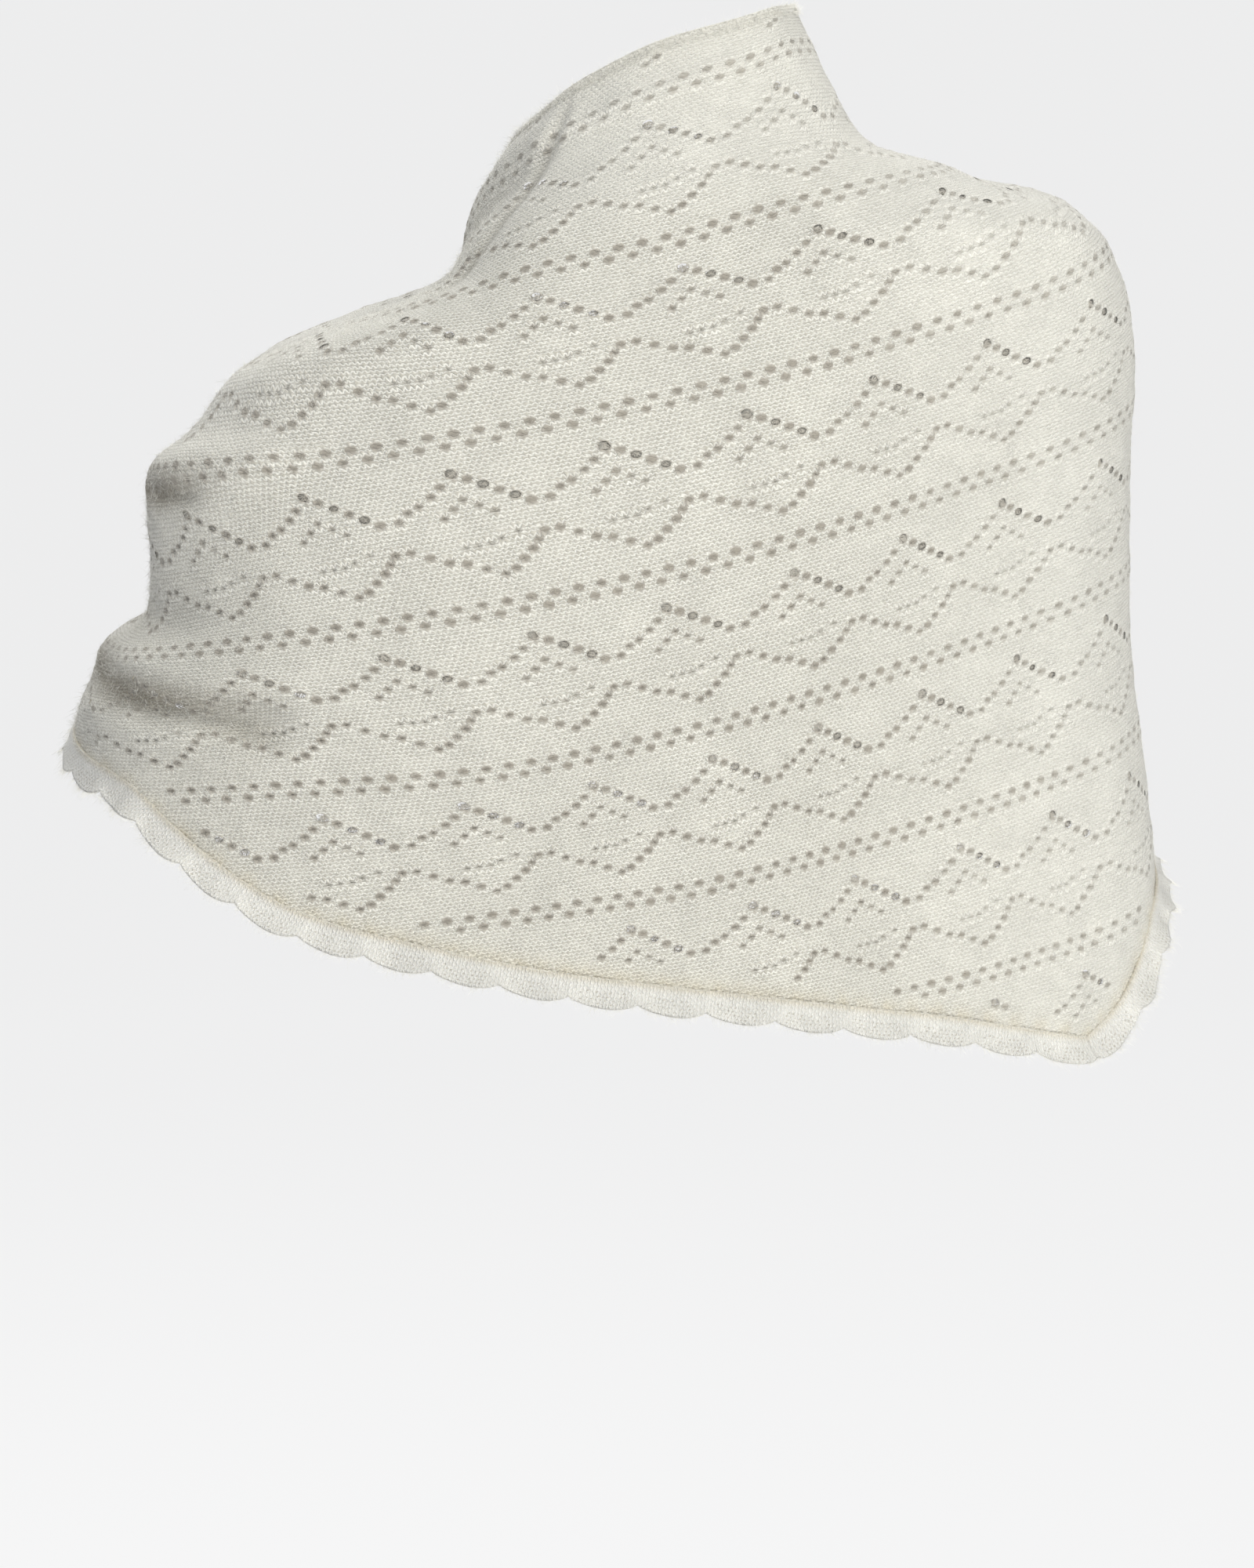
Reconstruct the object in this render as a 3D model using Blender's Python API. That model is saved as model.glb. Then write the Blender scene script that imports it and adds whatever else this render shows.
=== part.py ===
"""Lace shawl, worn round the shoulders.

One wide, shallow panel knitted in rows parallel to its long top edge, with a scalloped edging knitted
on along its two hem sides. It stands round the neck as a collar, hangs over the back with its point
at the lower right, and its two ends cross on the chest, the right one outside the left.

The cloth lies on a plain figure of neck, shoulders and arms. A place on the figure is an azimuth
(0 at the back, positive to the wearer's left) and a height, measured in planes that rise towards the
wearer's right as the shoulders do. A place on the cloth is u along the rows (0 at the point's column,
positive to the wearer's left) and t, the depth below the top edge.
"""
import math

import bpy
import numpy as np
from mathutils import Vector
from mathutils.geometry import delaunay_2d_cdt

MM = 0.001
TILT = 0.158             # slope at which the shoulders rise to the wearer's right
WALL = 2.0 * MM          # knitted cloth with its halo
SEAM_GAP = 0.3 * MM
FACET_PLAY = 0.45 * MM    # what the flat facets of two curved seams need beyond that
LAYER_STEP = 5.0         # mm that each crossed front moves off the figure, the left in, the right out
LEFT_CROSSING = (98, 42)         # azimuth where the left front starts to move in, and over how much
RIGHT_CROSSING = (-125, 45)      # the same for the right front, which moves out
MM_PER_DEGREE = 2.6      # cloth to a degree round the figure, for the folds

# The figure, one row for each section: its height and its four reaches, in mm.
SECTION_COLUMNS = ("height", "left", "right", "back", "front", "squareness")
SECTIONS = (
    (-420, 288, 246, 150, 160, 2.5),
    (-300, 290, 233, 147, 156, 2.5),
    (-230, 290, 224, 144, 153, 2.5),
    (-180, 284, 218, 141, 150, 2.5),
    (-140, 278, 217, 138, 147, 2.5),
    (-122, 266.5, 217, 136, 144, 2.5),
    (-113, 262, 217, 135, 143, 2.5),
    (-104, 250.5, 217, 134, 142, 2.5),
    (-95, 246.5, 217, 133, 141, 2.5),
    (-75, 242.5, 218, 130, 137, 2.5),
    (-60, 243.5, 218, 127, 134, 2.5),
    (-45, 240.5, 217, 123, 130, 2.5),
    (-30, 229, 215, 119, 125, 2.5),
    (-10, 214, 209, 112, 117, 2.6),
    (5, 201, 202, 107, 110, 2.8),
    (12, 184, 195, 104, 106, 3.0),
    (20, 138, 184, 100, 101, 3.3),
    (30, 104, 160, 96, 96, 3.5),
    (38, 98, 142, 92, 91, 3.3),
    (48, 94, 127, 88, 86, 3.0),
    (60, 88, 97, 83, 80, 2.6),
    (72, 80, 86, 78, 75, 2.3),
    (90, 71, 77, 71, 68, 2.1),
    (120, 60, 63, 62, 60, 2.0),
    (145, 52, 53, 55, 54, 2.0),
    (170, 46, 44, 48, 50, 2.0),
)
SECTION_ROUNDING = 4             # mm over which one section passes into the next

# How each knitted row lies: its height on the figure at these azimuths, from the right front, which
# goes on past the centre of the chest, round the back to the left front.
ROW_AZIMUTHS = (-250, -210, -180, -150, -120, -90, -60, -30, 0, 30, 60, 90, 120, 150, 190)
ROWS = (
    # depth, heights
    (0, -106, -50, -10, 38, 95, 132, 132, 129, 125.5, 116, 101.5, 84, 26, -27, -128),
    (20, -126, -73, -32, 16, 75, 112, 115, 110, 106, 95.5, 80, 63, 14.5, -49, -150),
    (91.5, -215, -158, -115, -56, 6, 48, 48.5, 45, 38, 35, 25, 16, -38, -110, -215),
    (163, -300, -235, -185, -125, -68, 3, -12, -24, -29, -32, -34, -40, -90, -165, -270),
    (234.5, -370, -300, -250, -195, -138, -71, -83, -96.5, -104.8, -108.5, -110.5, -115, -155, -225, -330),
    (306, -430, -365, -315, -262, -208, -146, -154, -167.5, -177, -181, -175.5, -173, -218, -288, -390),
    (377.5, -500, -430, -380, -330, -280, -223, -229, -239.5, -246.5, -246.5, -248, -245, -285, -352, -450),
    (449, -570, -500, -450, -400, -350, -303, -308, -311, -314, -316, -318, -316, -350, -415, -515),
    (520.5, -640, -570, -520, -470, -420, -374, -378, -380, -383, -386, -388, -386, -418, -480, -580),
)

# Where the middle of each repeat of the lace lies: its depth, then the azimuth of each repeat. The
# stitches are eased in towards the point, which hangs on the wearer's right. Beyond these repeats
# the knitting lies at its own gauge.
REPEAT_NUMBERS = (-2, -1, 0, 1, 2, 3, 4)
REPEAT_MIDDLE = 6                # stitches from a repeat's first eyelet to its middle
REPEAT_AZIMUTHS = (
    (0, -111, -59.5, 1, 53.5, 96.5, 116.4, 130.2),
    (44.4, -97.1, -51.4, -3.6, 40, 75.8, 101.6, 116.3),
    (80, -77.1, -43.8, -7.3, 30.8, 60.9, 87.4, 101),
    (115.9, -62, -39.5, -12, 23, 48.5, 68.7, 87.8),
    (187.4, -57, -42, -22, 5, 32.5, 52.5, 67),
    (258.9, -56, -42.5, -27, -5.5, 17.5, 39.5, 56),
    (330.4, -57, -44, -29, -12.5, 8, 28, 46),
    (401.9, -61, -48.5, -34, -19, 1.5, 22, 40),
    (473.4, -64, -52, -39, -25, -5, 15, 34),
)

# Height of the crease between panel and edging, from the point along each hem to its wing's tip.
HEM_COLUMNS = ("azimuth", "height")
LEFT_HEM = ((-61, -354), (-41, -325), (-16, -302.5), (2, -289.5), (20, -276), (42, -251.5), (52, -235),
            (60, -211), (65.5, -190), (71, -170), (78, -159), (88, -149), (100, -143), (120, -151),
            (150, -180), (172, -170), (186, -118))
RIGHT_HEM = ((-61, -354), (-66, -345), (-71, -330), (-77, -310), (-90, -297), (-120, -277),
             (-150, -252), (-180, -230), (-210, -195), (-232, -140), (-243, -96.5))

# Soft folds: a line on the figure from one place to another, with the height and the half-width of
# the swelling there, in mm. A trough has a negative height.
FOLD_FADE = 0.35                 # share of a fold's length over which it dies away beyond its ends
FOLD_COLUMNS = ("azimuth_a", "height_a", "azimuth_b", "height_b", "rise", "half_width")
FOLDS = (
    (66, -35, 98, -38, 7.5, 13),
    (73, -46, 84, -44, -4.0, 5),
    (74, -102, 112, -98, -4.0, 12),
    (62, -130, 96, -113, 4.5, 9),
    (59, -148, 80, -123, -6.0, 8),
    (78, -136, 66, -153, 2.0, 8),
    (-40, 115, 36, 91, 2.0, 6),
    (57, 40, 43, 90, -3.0, 7),
    (50, 92, 118, 52, 4.5, 12),
    (64, 66, 120, 20, -3.5, 10),
    (-53, -262, -59, -306, -4.0, 22),
    (-100, 20, -150, -60, 4.0, 16),
    (-104, -20, -160, -120, -4.0, 15),
    (-112, -90, -190, -200, 4.5, 18),
    (-170, -60, -225, -120, 3.5, 14),
    (104, 24, 140, -80, 4.0, 15),
    (112, -60, 150, -150, -3.5, 15),
)

# The lace: repeats of 24 stitches by 22 pattern rows between the double lines of eyelets. Stitches
# are counted towards the wearer's right.
REPEAT_LENGTH = 64.5 * MM
REPEAT_DEPTH = 71.5 * MM
REPEAT_STITCHES = 24
REPEAT_ROWS = 22
FIRST_LINE = 20.0 * MM           # depth of the first double line below the top edge
LARGEST_EYELETS = ((1, 5), (5, 7), (9, 9))      # (stitch, pattern row) of those cut through
EYELET_HALF_LENGTH = 2.5 * MM
EYELET_HALF_DEPTH = 1.75 * MM
EYELET_CORNERS = 6
EYELET_MARGIN = 7.0 * MM         # plain cloth kept between an eyelet and any edge
EYELET_LIMIT = 300
LACE_BANDS = range(-1, 8)        # bands of the lace that can meet the panel

# The stretches of the panel.
COLLAR_DEPTH = 84.0 * MM
SIDE_AZIMUTHS = (-88.0, 88.0)    # where the fronts begin
CELL = 18.5 * MM                 # size of the wall's flat facets
EDGE_CLEARANCE = 7.5 * MM        # from the facets' inner corners to any edge
EYELET_CLEARANCE = 8.0 * MM      # and to an eyelet's centre
OUTLINE_STEP = 10.5 * MM

# The edging.
EDGING_WIDTH = 10.5 * MM
SCALLOP_LENGTH = 30.0 * MM
SCALLOP_DEPTH = 4.5 * MM
SCALLOP_STEPS = 4
EDGING_STEPS = 3
EDGING_WAVE = 2.0 * MM
SCALLOP_FULLNESS = 0.7           # below 1 it is fuller than a sine's arch
WAVE_SHIFT = 0.6
FLARE_START = math.radians(8.0)
FLARE_END = math.radians(52.0)
CALM_COLUMNS = ("side", "from_azimuth", "over", "strength")     # where the flare and the wave die away
CALM = ((1, 68, 24, 0.3),
        (-1, 96, 20, 0.5))
MITRE_LENGTH = 22.0 * MM
TIP_TAPER = 40.0 * MM
TIP_WIDTH = 0.4                  # share of the width left at a wing's tip

# How finely the rows and hems are measured.
DEPTH_STEP = 5.0                 # mm
AZIMUTH_STEP = 0.5               # degrees
COLUMN_STEP = 5.0 * MM
HEM_SAMPLES = 400
LINE_SAMPLES = 200

CLOTH_COLOUR = (0.86, 0.84, 0.77, 1.0)
EDGING_COLOUR = (0.93, 0.92, 0.86, 1.0)


def smooth(x, xs, ys):
    """Monotone cubic through a table's points, level beyond its ends; ys may hold a row for each x."""
    xs = np.asarray(xs, float)
    ys = np.asarray(ys, float)
    x = np.clip(np.asarray(x, float), xs[0], xs[-1])
    step = np.diff(xs)
    rise = np.diff(ys, axis=-1) / step
    before, after = rise[..., :-1], rise[..., 1:]
    weight_a = 2 * step[1:] + step[:-1]
    weight_b = step[1:] + 2 * step[:-1]
    same_way = before * after > 0
    safe_before = np.where(same_way, before, 1.0)
    safe_after = np.where(same_way, after, 1.0)
    mean = (weight_a + weight_b) / (weight_a / safe_before + weight_b / safe_after)
    slope = np.concatenate([rise[..., :1], np.where(same_way, mean, 0.0), rise[..., -1:]], axis=-1)
    i = np.clip(np.searchsorted(xs, x, side="right") - 1, 0, len(xs) - 2)
    s = (x - xs[i]) / step[i]
    if ys.ndim == 1:
        y0, y1, m0, m1 = ys[i], ys[i + 1], slope[i], slope[i + 1]
    else:
        row = np.arange(len(ys))
        y0, y1, m0, m1 = ys[row, i], ys[row, i + 1], slope[row, i], slope[row, i + 1]
    return ((1 + 2 * s) * (1 - s) ** 2 * y0 + s * (1 - s) ** 2 * step[i] * m0
            + s * s * (3 - 2 * s) * y1 + s * s * (s - 1) * step[i] * m1)


def ease(x):
    """0 below 0, 1 above 1, and smooth between."""
    x = np.clip(x, 0.0, 1.0)
    return x * x * (3 - 2 * x)


def section_profiles():
    """The figure's reaches at each millimetre of height, rounded off between the sections."""
    heights = np.arange(-440.0, 191.0)
    table = np.array(SECTIONS)
    reach = 3 * SECTION_ROUNDING
    bell = np.exp(-0.5 * (np.arange(-reach, reach + 1) / SECTION_ROUNDING) ** 2)
    bell = bell / bell.sum()
    profiles = []
    for column in range(1, len(SECTION_COLUMNS)):
        values = smooth(heights, table[:, 0], table[:, column])
        padded = np.pad(values, reach, mode="edge")
        profiles.append(np.convolve(padded, bell, mode="valid"))
    return heights, profiles


SECTION_HEIGHTS, SECTION_PROFILES = section_profiles()


def figure_point(azimuth, height):
    """Point of the bare figure, in metres, from azimuth in degrees and height in mm."""
    left, right, back, front, squareness = (np.interp(height, SECTION_HEIGHTS, profile)
                                            for profile in SECTION_PROFILES)
    side, face = np.sin(np.radians(azimuth)), np.cos(np.radians(azimuth))
    reach_side = np.where(side >= 0, left, right)
    reach_face = np.where(face >= 0, back, front)
    radius = (np.abs(side / reach_side) ** squareness
              + np.abs(face / reach_face) ** squareness) ** (-1 / squareness)
    x, y = radius * side, radius * face
    return np.stack([x, y, height - TILT * x], axis=-1) * MM


def swelling(azimuth, height):
    """Distance in mm that the cloth stands off the figure: its folds and the crossing of its fronts."""
    left_from, left_over = LEFT_CROSSING
    right_from, right_over = RIGHT_CROSSING
    rise = LAYER_STEP * (ease((right_from - azimuth) / right_over)
                         - ease((azimuth - left_from) / left_over))
    for row in FOLDS:
        fold = dict(zip(FOLD_COLUMNS, row))
        dx = (fold["azimuth_b"] - fold["azimuth_a"]) * MM_PER_DEGREE
        dy = fold["height_b"] - fold["height_a"]
        px, py = (azimuth - fold["azimuth_a"]) * MM_PER_DEGREE, height - fold["height_a"]
        length = math.hypot(dx, dy)
        along = (px * dx + py * dy) / length
        across = (px * dy - py * dx) / length
        fading = FOLD_FADE * length
        fade = ease(1 + along / fading) * ease(1 + (length - along) / fading)
        rise = rise + fold["rise"] * fade * np.exp(-(across / fold["half_width"]) ** 2)
    return rise


def figure_frame(azimuth, height):
    """Point, outward normal of the bare figure at a place."""
    point = figure_point(azimuth, height)
    round_it = figure_point(azimuth + 0.4, height) - figure_point(azimuth - 0.4, height)
    up_it = figure_point(azimuth, height + 1.0) - figure_point(azimuth, height - 1.0)
    normal = np.cross(up_it, round_it)
    return point, normal / np.linalg.norm(normal, axis=-1, keepdims=True)


def cloth_point(azimuth, height):
    """Point on the middle of the cloth at a place on the figure."""
    point, normal = figure_frame(azimuth, height)
    return point + normal * swelling(azimuth, height)[..., None] * MM


def cloth_frame(azimuth, height):
    """Point and outward normal of the cloth at a place on the figure."""
    round_it = cloth_point(azimuth + 0.6, height) - cloth_point(azimuth - 0.6, height)
    up_it = cloth_point(azimuth, height + 1.5) - cloth_point(azimuth, height - 1.5)
    normal = np.cross(up_it, round_it)
    return cloth_point(azimuth, height), normal / np.linalg.norm(normal, axis=-1, keepdims=True)


def row_heights(azimuths, depths):
    """Height in mm of the row of each depth at each azimuth. Between the table's rows the others are
    spaced evenly along the figure, not by height, so that they don't gape on the level shoulders."""
    table = np.array(ROWS)
    known = np.stack([smooth(azimuths, ROW_AZIMUTHS, row) for row in table[:, 1:]], axis=-1)
    heights = np.arange(table[:, 1:].min() - 5, SECTION_HEIGHTS[-1] + 1)
    up_figure = figure_point(azimuths[:, None], heights[None, :])
    steps = np.linalg.norm(np.diff(up_figure, axis=1), axis=2)
    lengths = np.pad(np.cumsum(steps, axis=1), ((0, 0), (1, 0)))
    rows = []
    for known_heights, length in zip(known, lengths):
        known_lengths = np.interp(known_heights, heights, length)
        rows.append(np.interp(smooth(depths, table[:, 0], known_lengths), length, heights))
    return np.stack(rows, axis=-1)


class ClothMap:
    """Finds places on the figure from u and t by measuring along each row through the repeats."""

    def __init__(self):
        self.depths = np.arange(0.0, ROWS[-1][0] + 1, DEPTH_STEP)
        self.azimuths = np.arange(ROW_AZIMUTHS[0], ROW_AZIMUTHS[-1] + AZIMUTH_STEP, AZIMUTH_STEP)
        self.columns = np.arange(-1.2, 1.3, COLUMN_STEP)
        self.height_at = row_heights(self.azimuths, self.depths)
        self.u_at = np.empty((len(self.depths), len(self.azimuths)))
        self.azimuth_at = np.empty((len(self.depths), len(self.columns)))
        for i, depth in enumerate(self.depths):
            points = figure_point(self.azimuths, self.height_at[i])
            steps = np.linalg.norm(np.diff(points, axis=0), axis=1)
            length = np.concatenate([[0.0], np.cumsum(steps)])
            self.u_at[i] = self.along_row(depth, length)
            self.azimuth_at[i] = np.interp(self.columns, self.u_at[i], self.azimuths)

    def along_row(self, depth, length):
        """u along a row of some depth, from the length of that row at each azimuth: smoothly through
        the repeats of the lace, and beyond them as long as the row itself."""
        table = np.array(REPEAT_AZIMUTHS)
        known = [np.interp(depth, table[:, 0], repeat) for repeat in table[:, 1:].T]
        at = np.interp(known, self.azimuths, length)
        middles = np.array(REPEAT_NUMBERS) * REPEAT_LENGTH - REPEAT_MIDDLE * REPEAT_LENGTH / REPEAT_STITCHES
        return smooth(length, at, middles) + np.minimum(length - at[0], 0) + np.maximum(length - at[-1], 0)

    def blend(self, table, row, column):
        """Value of a table at fractional rows and columns."""
        row = np.clip(row, 0, table.shape[0] - 1.001)
        column = np.clip(column, 0, table.shape[1] - 1.001)
        i, j = row.astype(int), column.astype(int)
        a, b = row - i, column - j
        return ((1 - a) * ((1 - b) * table[i, j] + b * table[i, j + 1])
                + a * ((1 - b) * table[i + 1, j] + b * table[i + 1, j + 1]))

    def place(self, u, t):
        """Azimuth and height on the figure of the cloth's place u, t in metres."""
        u, row = np.asarray(u, float), np.asarray(t, float) / MM / DEPTH_STEP
        azimuth = self.blend(self.azimuth_at, row, (u - self.columns[0]) / COLUMN_STEP)
        return azimuth, self.blend(self.height_at, row, (azimuth - self.azimuths[0]) / AZIMUTH_STEP)

    def flat(self, azimuth, height):
        """u and t in metres of a place on the figure."""
        azimuth, height = np.asarray(azimuth, float), np.asarray(height, float)
        t = np.empty(azimuth.shape)
        every_row = np.arange(len(self.depths), dtype=float)
        for i, (a, h) in enumerate(zip(azimuth, height)):
            column = np.full(len(self.depths), (a - self.azimuths[0]) / AZIMUTH_STEP)
            t[i] = np.interp(-h, -self.blend(self.height_at, every_row, column), self.depths)
        u = self.blend(self.u_at, t / DEPTH_STEP, (azimuth - self.azimuths[0]) / AZIMUTH_STEP)
        return u, t * MM


CLOTH = ClothMap()


def evenly(points, step):
    """The same open line with points at an even step along it, both ends kept."""
    points = np.asarray(points, float)
    length = np.concatenate([[0.0], np.cumsum(np.linalg.norm(np.diff(points, axis=0), axis=1))])
    count = max(2, int(round(length[-1] / step)) + 1)
    where = np.linspace(0.0, length[-1], count)
    return np.stack([np.interp(where, length, points[:, k]) for k in range(points.shape[1])], axis=-1)


def hem_places(table, first=None, last=None):
    """Places (azimuth, height) along a hem table, from its azimuth first to last, closely spaced."""
    hem = dict(zip(HEM_COLUMNS, np.array(table, float).T))
    order = np.argsort(hem["azimuth"])
    first = hem["azimuth"][0] if first is None else first
    last = hem["azimuth"][-1] if last is None else last
    azimuth = np.linspace(first, last, HEM_SAMPLES)
    return azimuth, smooth(azimuth, hem["azimuth"][order], hem["height"][order])


def hem_flat(table, first=None, last=None):
    """The same stretch of hem as points (u, t)."""
    return np.stack(CLOTH.flat(*hem_places(table, first, last)), axis=-1)


def column_flat(azimuth, depth_a, depth_b):
    """Points (u, t) down the figure at one azimuth, between two depths in metres."""
    t = np.linspace(depth_a, depth_b, LINE_SAMPLES)
    column = np.full(len(t), (azimuth - CLOTH.azimuths[0]) / AZIMUTH_STEP)
    return np.stack([CLOTH.blend(CLOTH.u_at, t / MM / DEPTH_STEP, column), t], axis=-1)


def row_flat(t, azimuth_a, azimuth_b):
    """Points (u, t) along one row between two azimuths."""
    azimuth = np.linspace(azimuth_a, azimuth_b, LINE_SAMPLES)
    row = np.full(len(azimuth), t / MM / DEPTH_STEP)
    u = CLOTH.blend(CLOTH.u_at, row, (azimuth - CLOTH.azimuths[0]) / AZIMUTH_STEP)
    return np.stack([u, np.full(len(u), t)], axis=-1)


def loop_of(*lines):
    """One closed outline (u, t) from open lines that follow each other."""
    pieces = [evenly(line, OUTLINE_STEP)[:-1] for line in lines]
    return np.concatenate(pieces)


def shrink(loop, distance):
    """A closed outline moved inwards by a distance."""
    before, after = np.roll(loop, 1, axis=0), np.roll(loop, -1, axis=0)
    along = after - before
    along = along / np.linalg.norm(along, axis=1, keepdims=True)
    area = np.sum(loop[:, 0] * after[:, 1] - after[:, 0] * loop[:, 1])
    inward = np.stack([-along[:, 1], along[:, 0]], axis=-1) * np.sign(area)
    return loop + inward * distance


def inside(points, loop):
    """Which points (u, t) lie inside a closed outline."""
    hit = np.zeros(len(points), bool)
    for a, b in zip(loop, np.roll(loop, -1, axis=0)):
        crosses = (a[1] > points[:, 1]) != (b[1] > points[:, 1])
        level = b[1] - a[1] if b[1] != a[1] else 1.0
        where = a[0] + (points[:, 1] - a[1]) / level * (b[0] - a[0])
        hit ^= crosses & (points[:, 0] < where)
    return hit


def distance_to(points, loop):
    """Distance of each point (u, t) from a closed outline."""
    nearest = np.full(len(points), np.inf)
    for a, b in zip(loop, np.roll(loop, -1, axis=0)):
        run = b - a
        share = np.clip(((points - a) @ run) / max(run @ run, 1e-12), 0, 1)
        nearest = np.minimum(nearest, np.linalg.norm(points - a - share[:, None] * run, axis=1))
    return nearest


def eyelet_centres(loop):
    """Centres (u, t) of the largest eyelets of each repeat that lie well inside an outline."""
    stitch, row = REPEAT_LENGTH / REPEAT_STITCHES, REPEAT_DEPTH / REPEAT_ROWS
    (u_low, t_low), (u_high, t_high) = loop.min(axis=0), loop.max(axis=0)
    centres = []
    for band in LACE_BANDS:
        for repeat in range(int(u_low / REPEAT_LENGTH) - 2, int(u_high / REPEAT_LENGTH) + 2):
            for place, pattern_row in LARGEST_EYELETS:
                centres.append((repeat * REPEAT_LENGTH - place * stitch,
                                FIRST_LINE + band * REPEAT_DEPTH + pattern_row * row))
    centres = np.array(centres)
    return centres[inside(centres, loop) & (distance_to(centres, loop) > EYELET_MARGIN)]


def cloth_material(name, colour):
    """Soft, matt knitted wool."""
    material = bpy.data.materials.new(name)
    material.use_nodes = True
    shader = material.node_tree.nodes["Principled BSDF"]
    shader.inputs["Base Color"].default_value = colour
    shader.inputs["Roughness"].default_value = 0.95
    shader.inputs["Metallic"].default_value = 0.0
    return material


def add_object(name, vertices, faces, material):
    """A mesh object, shaded smooth but for its thin edges."""
    mesh = bpy.data.meshes.new(name)
    mesh.from_pydata([tuple(v) for v in vertices], [], faces)
    mesh.validate()
    mesh.shade_smooth()
    mesh.set_sharp_from_angle(angle=math.radians(50))
    mesh.materials.append(material)
    thing = bpy.data.objects.new(name, mesh)
    bpy.context.scene.collection.objects.link(thing)
    return thing


def wall_of(name, points, normals, triangles, material):
    """Closed wall on both sides of a surface of triangles, edged round its outline and its holes."""
    count = len(points)
    outer, inner = points + normals * WALL / 2, points - normals * WALL / 2
    sides = set()
    for a, b, c in triangles:
        sides.update(((a, b), (b, c), (c, a)))
    rim = [(a, b) for a, b in sides if (b, a) not in sides]
    faces = [tuple(t) for t in triangles]
    faces += [(c + count, b + count, a + count) for a, b, c in triangles]
    for a, b in sorted(rim):
        faces.append((b, a, a + count))
        faces.append((b, a + count, b + count))
    return add_object(name, np.concatenate([outer, inner]), faces, material)


def facing_out(points, normals, triangles):
    """The triangles, all turned over together if most of them face against the normals."""
    triangles = np.array(triangles)
    a, b, c = (points[triangles[:, k]] for k in range(3))
    facing = np.einsum("ij,ij->i", np.cross(b - a, c - a), normals[triangles[:, 0]])
    if np.median(facing) < 0:
        triangles = triangles[:, ::-1]
    return [tuple(int(k) for k in t) for t in triangles]


def stretch_of_panel(name, loop, material):
    """One stretch of the knitted panel: a wall with the outline loop and its largest eyelets cut."""
    loop = shrink(loop, SEAM_GAP / 2)
    centres = eyelet_centres(loop)
    turns = np.arange(EYELET_CORNERS) * 2 * math.pi / EYELET_CORNERS
    ring = np.stack([EYELET_HALF_LENGTH * np.cos(turns), EYELET_HALF_DEPTH * np.sin(turns)], axis=-1)
    eyelets = [centre + ring for centre in centres]

    (u_low, t_low), (u_high, t_high) = loop.min(axis=0), loop.max(axis=0)
    grid = []
    for j, t in enumerate(np.arange(t_low, t_high, CELL * math.sqrt(3) / 2)):
        for u in np.arange(u_low + (j % 2) * CELL / 2, u_high, CELL):
            grid.append((u, t))
    grid = np.array(grid)
    grid = grid[inside(grid, loop) & (distance_to(grid, loop) > EDGE_CLEARANCE)]
    for centre in centres:
        grid = grid[np.linalg.norm(grid - centre, axis=1) > EYELET_CLEARANCE]

    flat = [tuple(p) for p in loop]
    edges = [(i, (i + 1) % len(loop)) for i in range(len(loop))]
    for eyelet in eyelets:
        start = len(flat)
        flat += [tuple(p) for p in eyelet]
        edges += [(start + k, start + (k + 1) % EYELET_CORNERS) for k in range(EYELET_CORNERS)]
    flat += [tuple(p) for p in grid]
    scale = 100.0                                    # the triangulation works best near unit size
    vertices, _, faces, *_ = delaunay_2d_cdt([Vector(p) * scale for p in flat], edges, [], 0, 1e-6)
    flat = np.array([tuple(v) for v in vertices]) / scale
    faces = np.array([tuple(f) for f in faces])
    middles = flat[faces].mean(axis=1)
    keep = inside(middles, loop)
    for centre in centres:
        # The middle of any triangle across an eyelet is within 2/3 of its ring, of any other outside it.
        off = (middles - centre) / (EYELET_HALF_LENGTH, EYELET_HALF_DEPTH)
        keep &= np.linalg.norm(off, axis=1) > 0.8
    faces = faces[keep]
    used = np.unique(faces)
    renumber = np.full(len(flat), -1)
    renumber[used] = np.arange(len(used))
    azimuth, height = CLOTH.place(flat[used, 0], flat[used, 1])
    points, normals = cloth_frame(azimuth, height)
    triangles = facing_out(points, normals, renumber[faces])
    wall_of(name, points, normals, triangles, material)
    return len(centres)


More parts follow.
